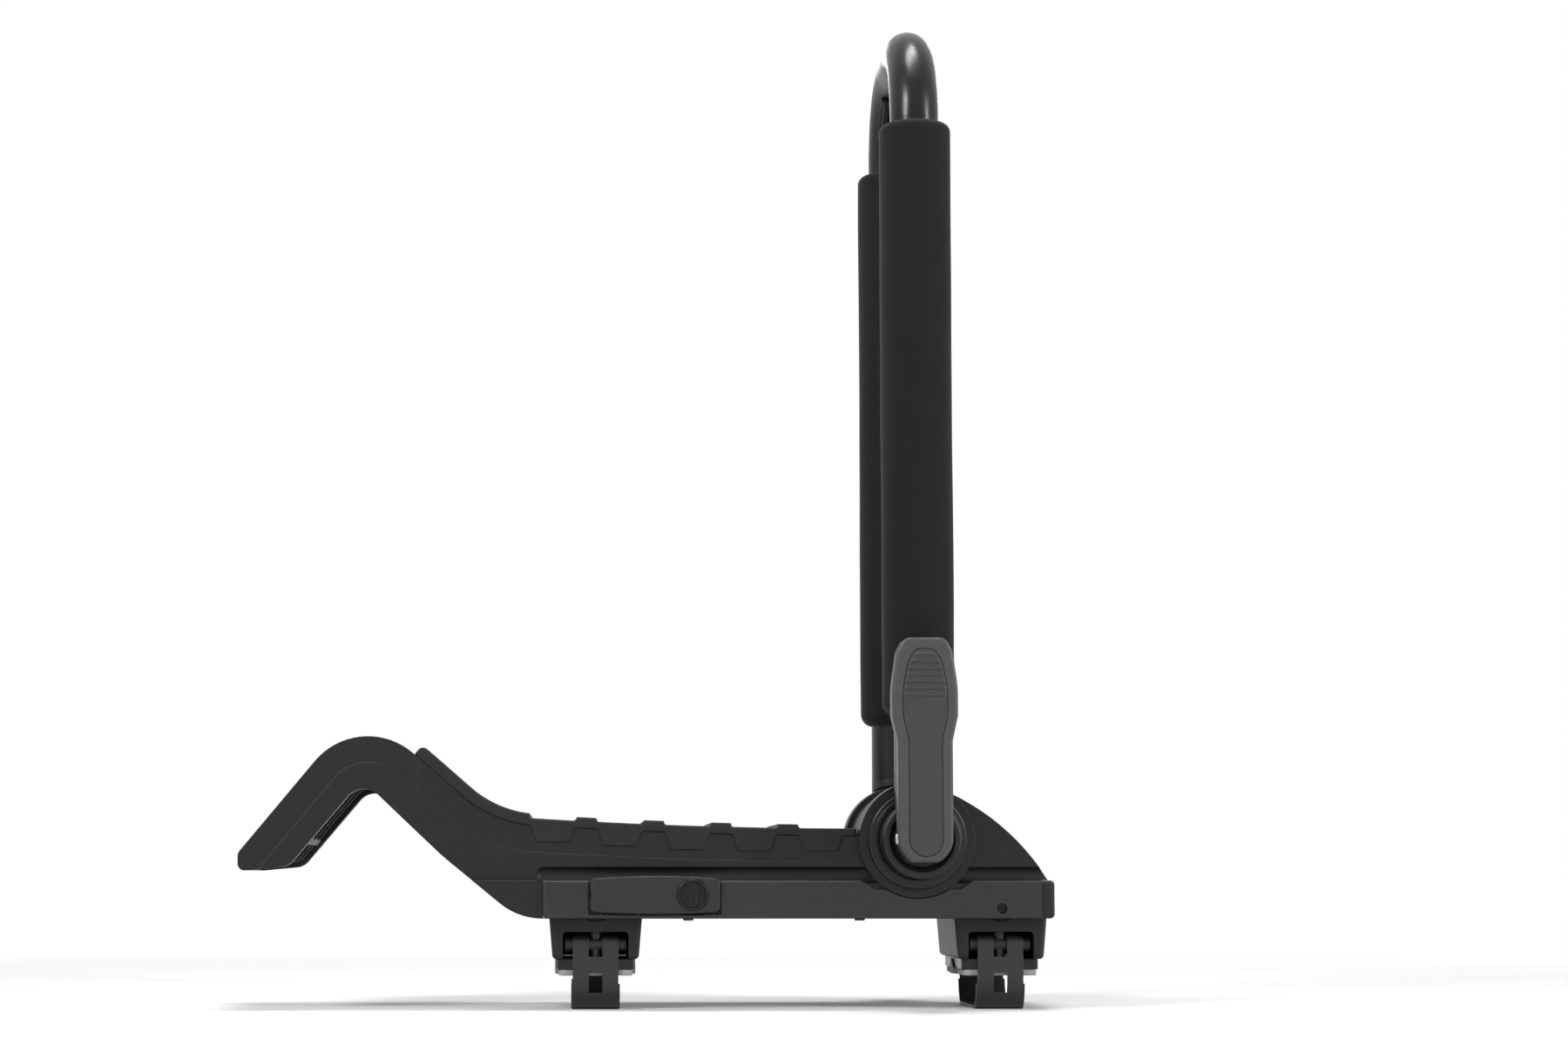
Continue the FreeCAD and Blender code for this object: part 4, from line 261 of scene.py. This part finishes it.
finishes = {
    # The last factor, where given, sets how much paler the painted edge highlight is than the colour.
    "body_plastic": moulded_plastic("black_body", (0.0058, 0.0058, 0.0062), 0.46, specular=0.3, edge=0.9),
    "cover_plastic": moulded_plastic("black_cover", (0.017, 0.017, 0.0185), 0.44, specular=0.3, edge_highlight_gain=3.0),
    "hub_plastic": moulded_plastic("hub_black", (0.0040, 0.0040, 0.0042), 0.28,
                                   depth=0.015, specular=0.35, edge=0.9),
    "lever_plastic": moulded_plastic("grey_lever", (0.046, 0.046, 0.049), 0.44, edge_highlight_gain=1.6),
    "bearing_plastic": moulded_plastic("acetal", (0.55, 0.55, 0.52), 0.4, depth=0.01, edge_highlight_gain=1.05),
    # The lock's edges carry a strong painted highlight, the rim light on its black ring.
    "lock_black": moulded_plastic("lock_black", (0.0025, 0.0025, 0.0027), 0.22,
                                  depth=0.005, specular=0.3, edge=0.5, edge_highlight_gain=16.0),
    "coated_casting": moulded_plastic("coated_casting", (0.006, 0.006, 0.0065), 0.38,
                                      grain=0.9, specular=0.35, edge=0.8),
    "pad_rubber": rubber("pad_rubber", (0.0080, 0.0080, 0.0084), 0.58, specular=0.28),
    "insert_rubber": rubber("insert_panel", (0.028, 0.031, 0.031), 0.5),
    "bar_pad_rubber": rubber("pale_rubber", (0.24, 0.24, 0.25), 0.68),
    "gloss_tube": gloss_paint("gloss_black", (0.0020, 0.0020, 0.0021), 0.26),
    "rail_aluminium": anodised(),
    "zinc_steel": zinc_plate(),
    "blackened_steel": blackened_steel(),
    "coated_strap": coated_strap(),
    "foam": foam(),
}
slot_of = {s["node"]: s["material_slot"] for s in frame["record"]["subparts"]}
body_of = {n: b for b, members in frame["record"]["behaviour"]["bodies"].items() for n in members}


def finish_with(piece, slot):
    piece.data.materials.clear()
    piece.data.materials.append(finishes[slot])


for node_name, node in nodes.items():
    finish_with(node, slot_of[node_name])


# Soft and moulded rubber pieces

def stands_for(piece, node_name):
    """The piece rides and is finished in place of a node, which is hidden."""
    bpy.context.scene.collection.objects.link(piece)
    finish_with(piece, slot_of[node_name])
    for face in piece.data.polygons:
        face.use_smooth = True
    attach(piece, body_of[node_name])
    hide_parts(node_name)


def softened(node_name, voxel, rounds):
    """The node's form with its edges melted, as moulded rubber has them."""
    piece = bpy.data.objects.new("soft_" + node_name, nodes[node_name].data.copy())
    remesh = piece.modifiers.new("even", "REMESH")
    remesh.mode = "VOXEL"
    remesh.voxel_size = voxel * MM
    melt = piece.modifiers.new("melt", "SMOOTH")
    melt.factor = 0.5
    melt.iterations = rounds
    bpy.context.scene.collection.objects.link(piece)
    graph = bpy.context.evaluated_depsgraph_get()
    mesh = bpy.data.meshes.new_from_object(piece.evaluated_get(graph))
    bpy.data.objects.remove(piece)
    piece = bpy.data.objects.new("soft_" + node_name, mesh)
    stands_for(piece, node_name)
    return piece


FOAM_BORE_GAP = 0.05 * MM
FOAM_TOP_ROUND = 5.0 * MM
FOAM_FOOT_ROUND = 8.5 * MM
FOAM_TOP_DISH = 1.0 * MM      # how far the ends sink towards the bore
FOAM_FOOT_DISH = 1.2 * MM
FOAM_WAVE = 0.35 * MM
FOAM_WAVE_LIMIT = 0.2 * MM    # most that a wave stands out
FOAM_WAVES_ROUND = 1.3
FOAM_WAVES_PER_METRE = 16.0


def foam_sleeve(node_name, seed):
    """Foam tube on a leg: rounded ends, a tight bore and the slight waviness of soft foam."""
    low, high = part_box(node_name)
    centre = (low + high) / 2
    outer = (high.x - low.x) / 2
    bore = (nodes["arm_tube"].dimensions.x / 2) + FOAM_BORE_GAP
    turns = 96
    rings = 90
    steps = 7
    top_round = FOAM_TOP_ROUND
    foot_round = FOAM_FOOT_ROUND
    profile = [(bore, low.z + FOAM_FOOT_DISH)]
    for k in range(steps + 1):
        a = math.pi / 2 * k / steps
        profile.append((outer - foot_round * (1 - math.sin(a)), low.z + foot_round * (1 - math.cos(a))))
    span = high.z - low.z - top_round - foot_round
    for k in range(1, rings):
        profile.append((outer, low.z + foot_round + span * k / rings))
    for k in range(steps + 1):
        a = math.pi / 2 * k / steps
        profile.append((outer - top_round * (1 - math.cos(a)), high.z - top_round * (1 - math.sin(a))))
    profile.append((bore, high.z - FOAM_TOP_DISH))
    mesh = bpy.data.meshes.new("dressed_" + node_name)
    bm = bmesh.new()
    loops = []
    for radius, z in profile:
        loop = []
        for t in range(turns):
            a = 2 * math.pi * t / turns
            across = math.cos(a)
            along = math.sin(a)
            wave = noise.noise(Vector((across * FOAM_WAVES_ROUND, along * FOAM_WAVES_ROUND + seed,
                                       z * FOAM_WAVES_PER_METRE)))
            swell = FOAM_WAVE * wave if radius > bore + MM else 0.0
            reach = min(radius + swell, outer + FOAM_WAVE_LIMIT)
            loop.append(bm.verts.new((centre.x + reach * across, centre.y + reach * along, z)))
        loops.append(loop)
    loops.append(loops[0])
    for first, second in zip(loops, loops[1:]):
        for t in range(turns):
            after = (t + 1) % turns
            bm.faces.new((first[t], first[after], second[after], second[t]))
    bmesh.ops.recalc_face_normals(bm, faces=bm.faces)
    bm.to_mesh(mesh)
    bm.free()
    piece = bpy.data.objects.new("dressed_" + node_name, mesh)
    stands_for(piece, node_name)


foam_sleeve("foam_sleeve_front", 0.0)
foam_sleeve("foam_sleeve_rear", 7.0)
softened("saddle_pad", 0.7, 5)
for end in ("left", "right"):
    softened("bar_pad_" + end, 0.6, 4)
softened("lever_insert", 0.35, 3)


# Stage: floor, backdrop, lights and camera

def backdrop_share(tree):
    """1 for the rays that see the background as such: camera, glossy and transmission rays."""
    path = tree.nodes.new("ShaderNodeLightPath")
    seen = path.outputs["Is Camera Ray"]
    for name in ("Is Glossy Ray", "Is Transmission Ray"):
        widest = tree.nodes.new("ShaderNodeMath")
        widest.operation = "MAXIMUM"
        tree.links.new(seen, widest.inputs[0])
        tree.links.new(path.outputs[name], widest.inputs[1])
        seen = widest.outputs[0]
    return seen


def make_world(fill):
    world = bpy.data.worlds.new("studio")
    world.use_nodes = True
    tree = world.node_tree
    background = tree.nodes["Background"]
    strength = tree.nodes.new("ShaderNodeMapRange")
    strength.inputs["To Min"].default_value = fill
    strength.inputs["To Max"].default_value = 1.0
    tree.links.new(backdrop_share(tree), strength.inputs["Value"])
    tree.links.new(strength.outputs["Result"], background.inputs["Strength"])
    background.inputs["Color"].default_value = (1, 1, 1, 1)
    bpy.context.scene.world = world


FLOOR_SIZE = 30.0
FLOOR_WHITE = 0.86


def make_floor(z, fade_from, fade_to):
    """White floor that keeps the shadow near the object and turns into the backdrop further out."""
    bpy.ops.mesh.primitive_plane_add(size=FLOOR_SIZE, location=(0, 0, z))
    floor = bpy.context.object
    floor.name = "floor"
    material = bpy.data.materials.new("white_floor")
    material.use_nodes = True
    tree = material.node_tree
    diffuse = tree.nodes["Principled BSDF"]
    diffuse.inputs["Base Color"].default_value = (FLOOR_WHITE, FLOOR_WHITE, FLOOR_WHITE, 1)
    diffuse.inputs["Roughness"].default_value = 0.9
    diffuse.inputs["Specular IOR Level"].default_value = 0.1
    white = tree.nodes.new("ShaderNodeEmission")
    place = tree.nodes.new("ShaderNodeTexCoord")
    far = tree.nodes.new("ShaderNodeVectorMath")
    far.operation = "LENGTH"
    tree.links.new(place.outputs["Object"], far.inputs[0])
    fade = tree.nodes.new("ShaderNodeMapRange")
    fade.interpolation_type = "SMOOTHSTEP"
    fade.inputs["From Min"].default_value = fade_from
    fade.inputs["From Max"].default_value = fade_to
    tree.links.new(far.outputs["Value"], fade.inputs["Value"])
    share = tree.nodes.new("ShaderNodeMath")
    share.operation = "MULTIPLY"
    tree.links.new(backdrop_share(tree), share.inputs[0])
    tree.links.new(fade.outputs["Result"], share.inputs[1])
    mix = tree.nodes.new("ShaderNodeMixShader")
    tree.links.new(share.outputs[0], mix.inputs["Fac"])
    tree.links.new(diffuse.outputs[0], mix.inputs[1])
    tree.links.new(white.outputs[0], mix.inputs[2])
    tree.links.new(mix.outputs[0], tree.nodes["Material Output"].inputs["Surface"])
    floor.data.materials.append(material)


def make_lamp(name, place, target, size, power):
    light = bpy.data.lights.new(name, "AREA")
    light.shape = "RECTANGLE"
    light.size, light.size_y = size
    light.energy = power
    lamp = bpy.data.objects.new(name, light)
    lamp.location = place
    lamp.rotation_mode = "QUATERNION"
    lamp.rotation_quaternion = (Vector(target) - Vector(place)).to_track_quat("-Z", "Y")
    bpy.context.scene.collection.objects.link(lamp)


FLOOR_GAP = 0.2 * MM
middle = (cad_box[0] + cad_box[1]) / 2
make_world(0.14)
make_floor(cad_box[0].z - FLOOR_GAP, 0.45, 1.5)
make_lamp("key", (-1.5, -1.5, 1.6), middle, (0.6, 0.9), 44.0)
make_lamp("side_strip", (1.8, -1.1, 0.8), middle, (0.22, 1.3), 26.0)
make_lamp("top", (0.1, -0.1, 2.2), middle, (1.0, 0.5), 30.0)
make_lamp("back", (0.4, 2.0, 1.3), middle, (1.2, 0.6), 12.0)

view = bpy.context.scene.view_settings
view.view_transform = "Standard"

CAMERA_PLACE = (-12.68 * MM, -1968.45 * MM, 67.29 * MM)
PITCH = math.radians(4.115)
YAW = math.radians(0.997)
camera_data = bpy.data.cameras.new("camera")
camera_data.lens = 66.892
camera_data.sensor_width = 36.0
camera_data.shift_x = 0.10
camera_data.shift_y = 0.09
camera_data.clip_start = 0.05
camera_data.clip_end = 100.0
camera = bpy.data.objects.new("camera", camera_data)
camera.location = CAMERA_PLACE
camera.rotation_euler = (math.pi / 2 + PITCH, 0.0, -YAW)
bpy.context.scene.collection.objects.link(camera)
bpy.context.scene.camera = camera
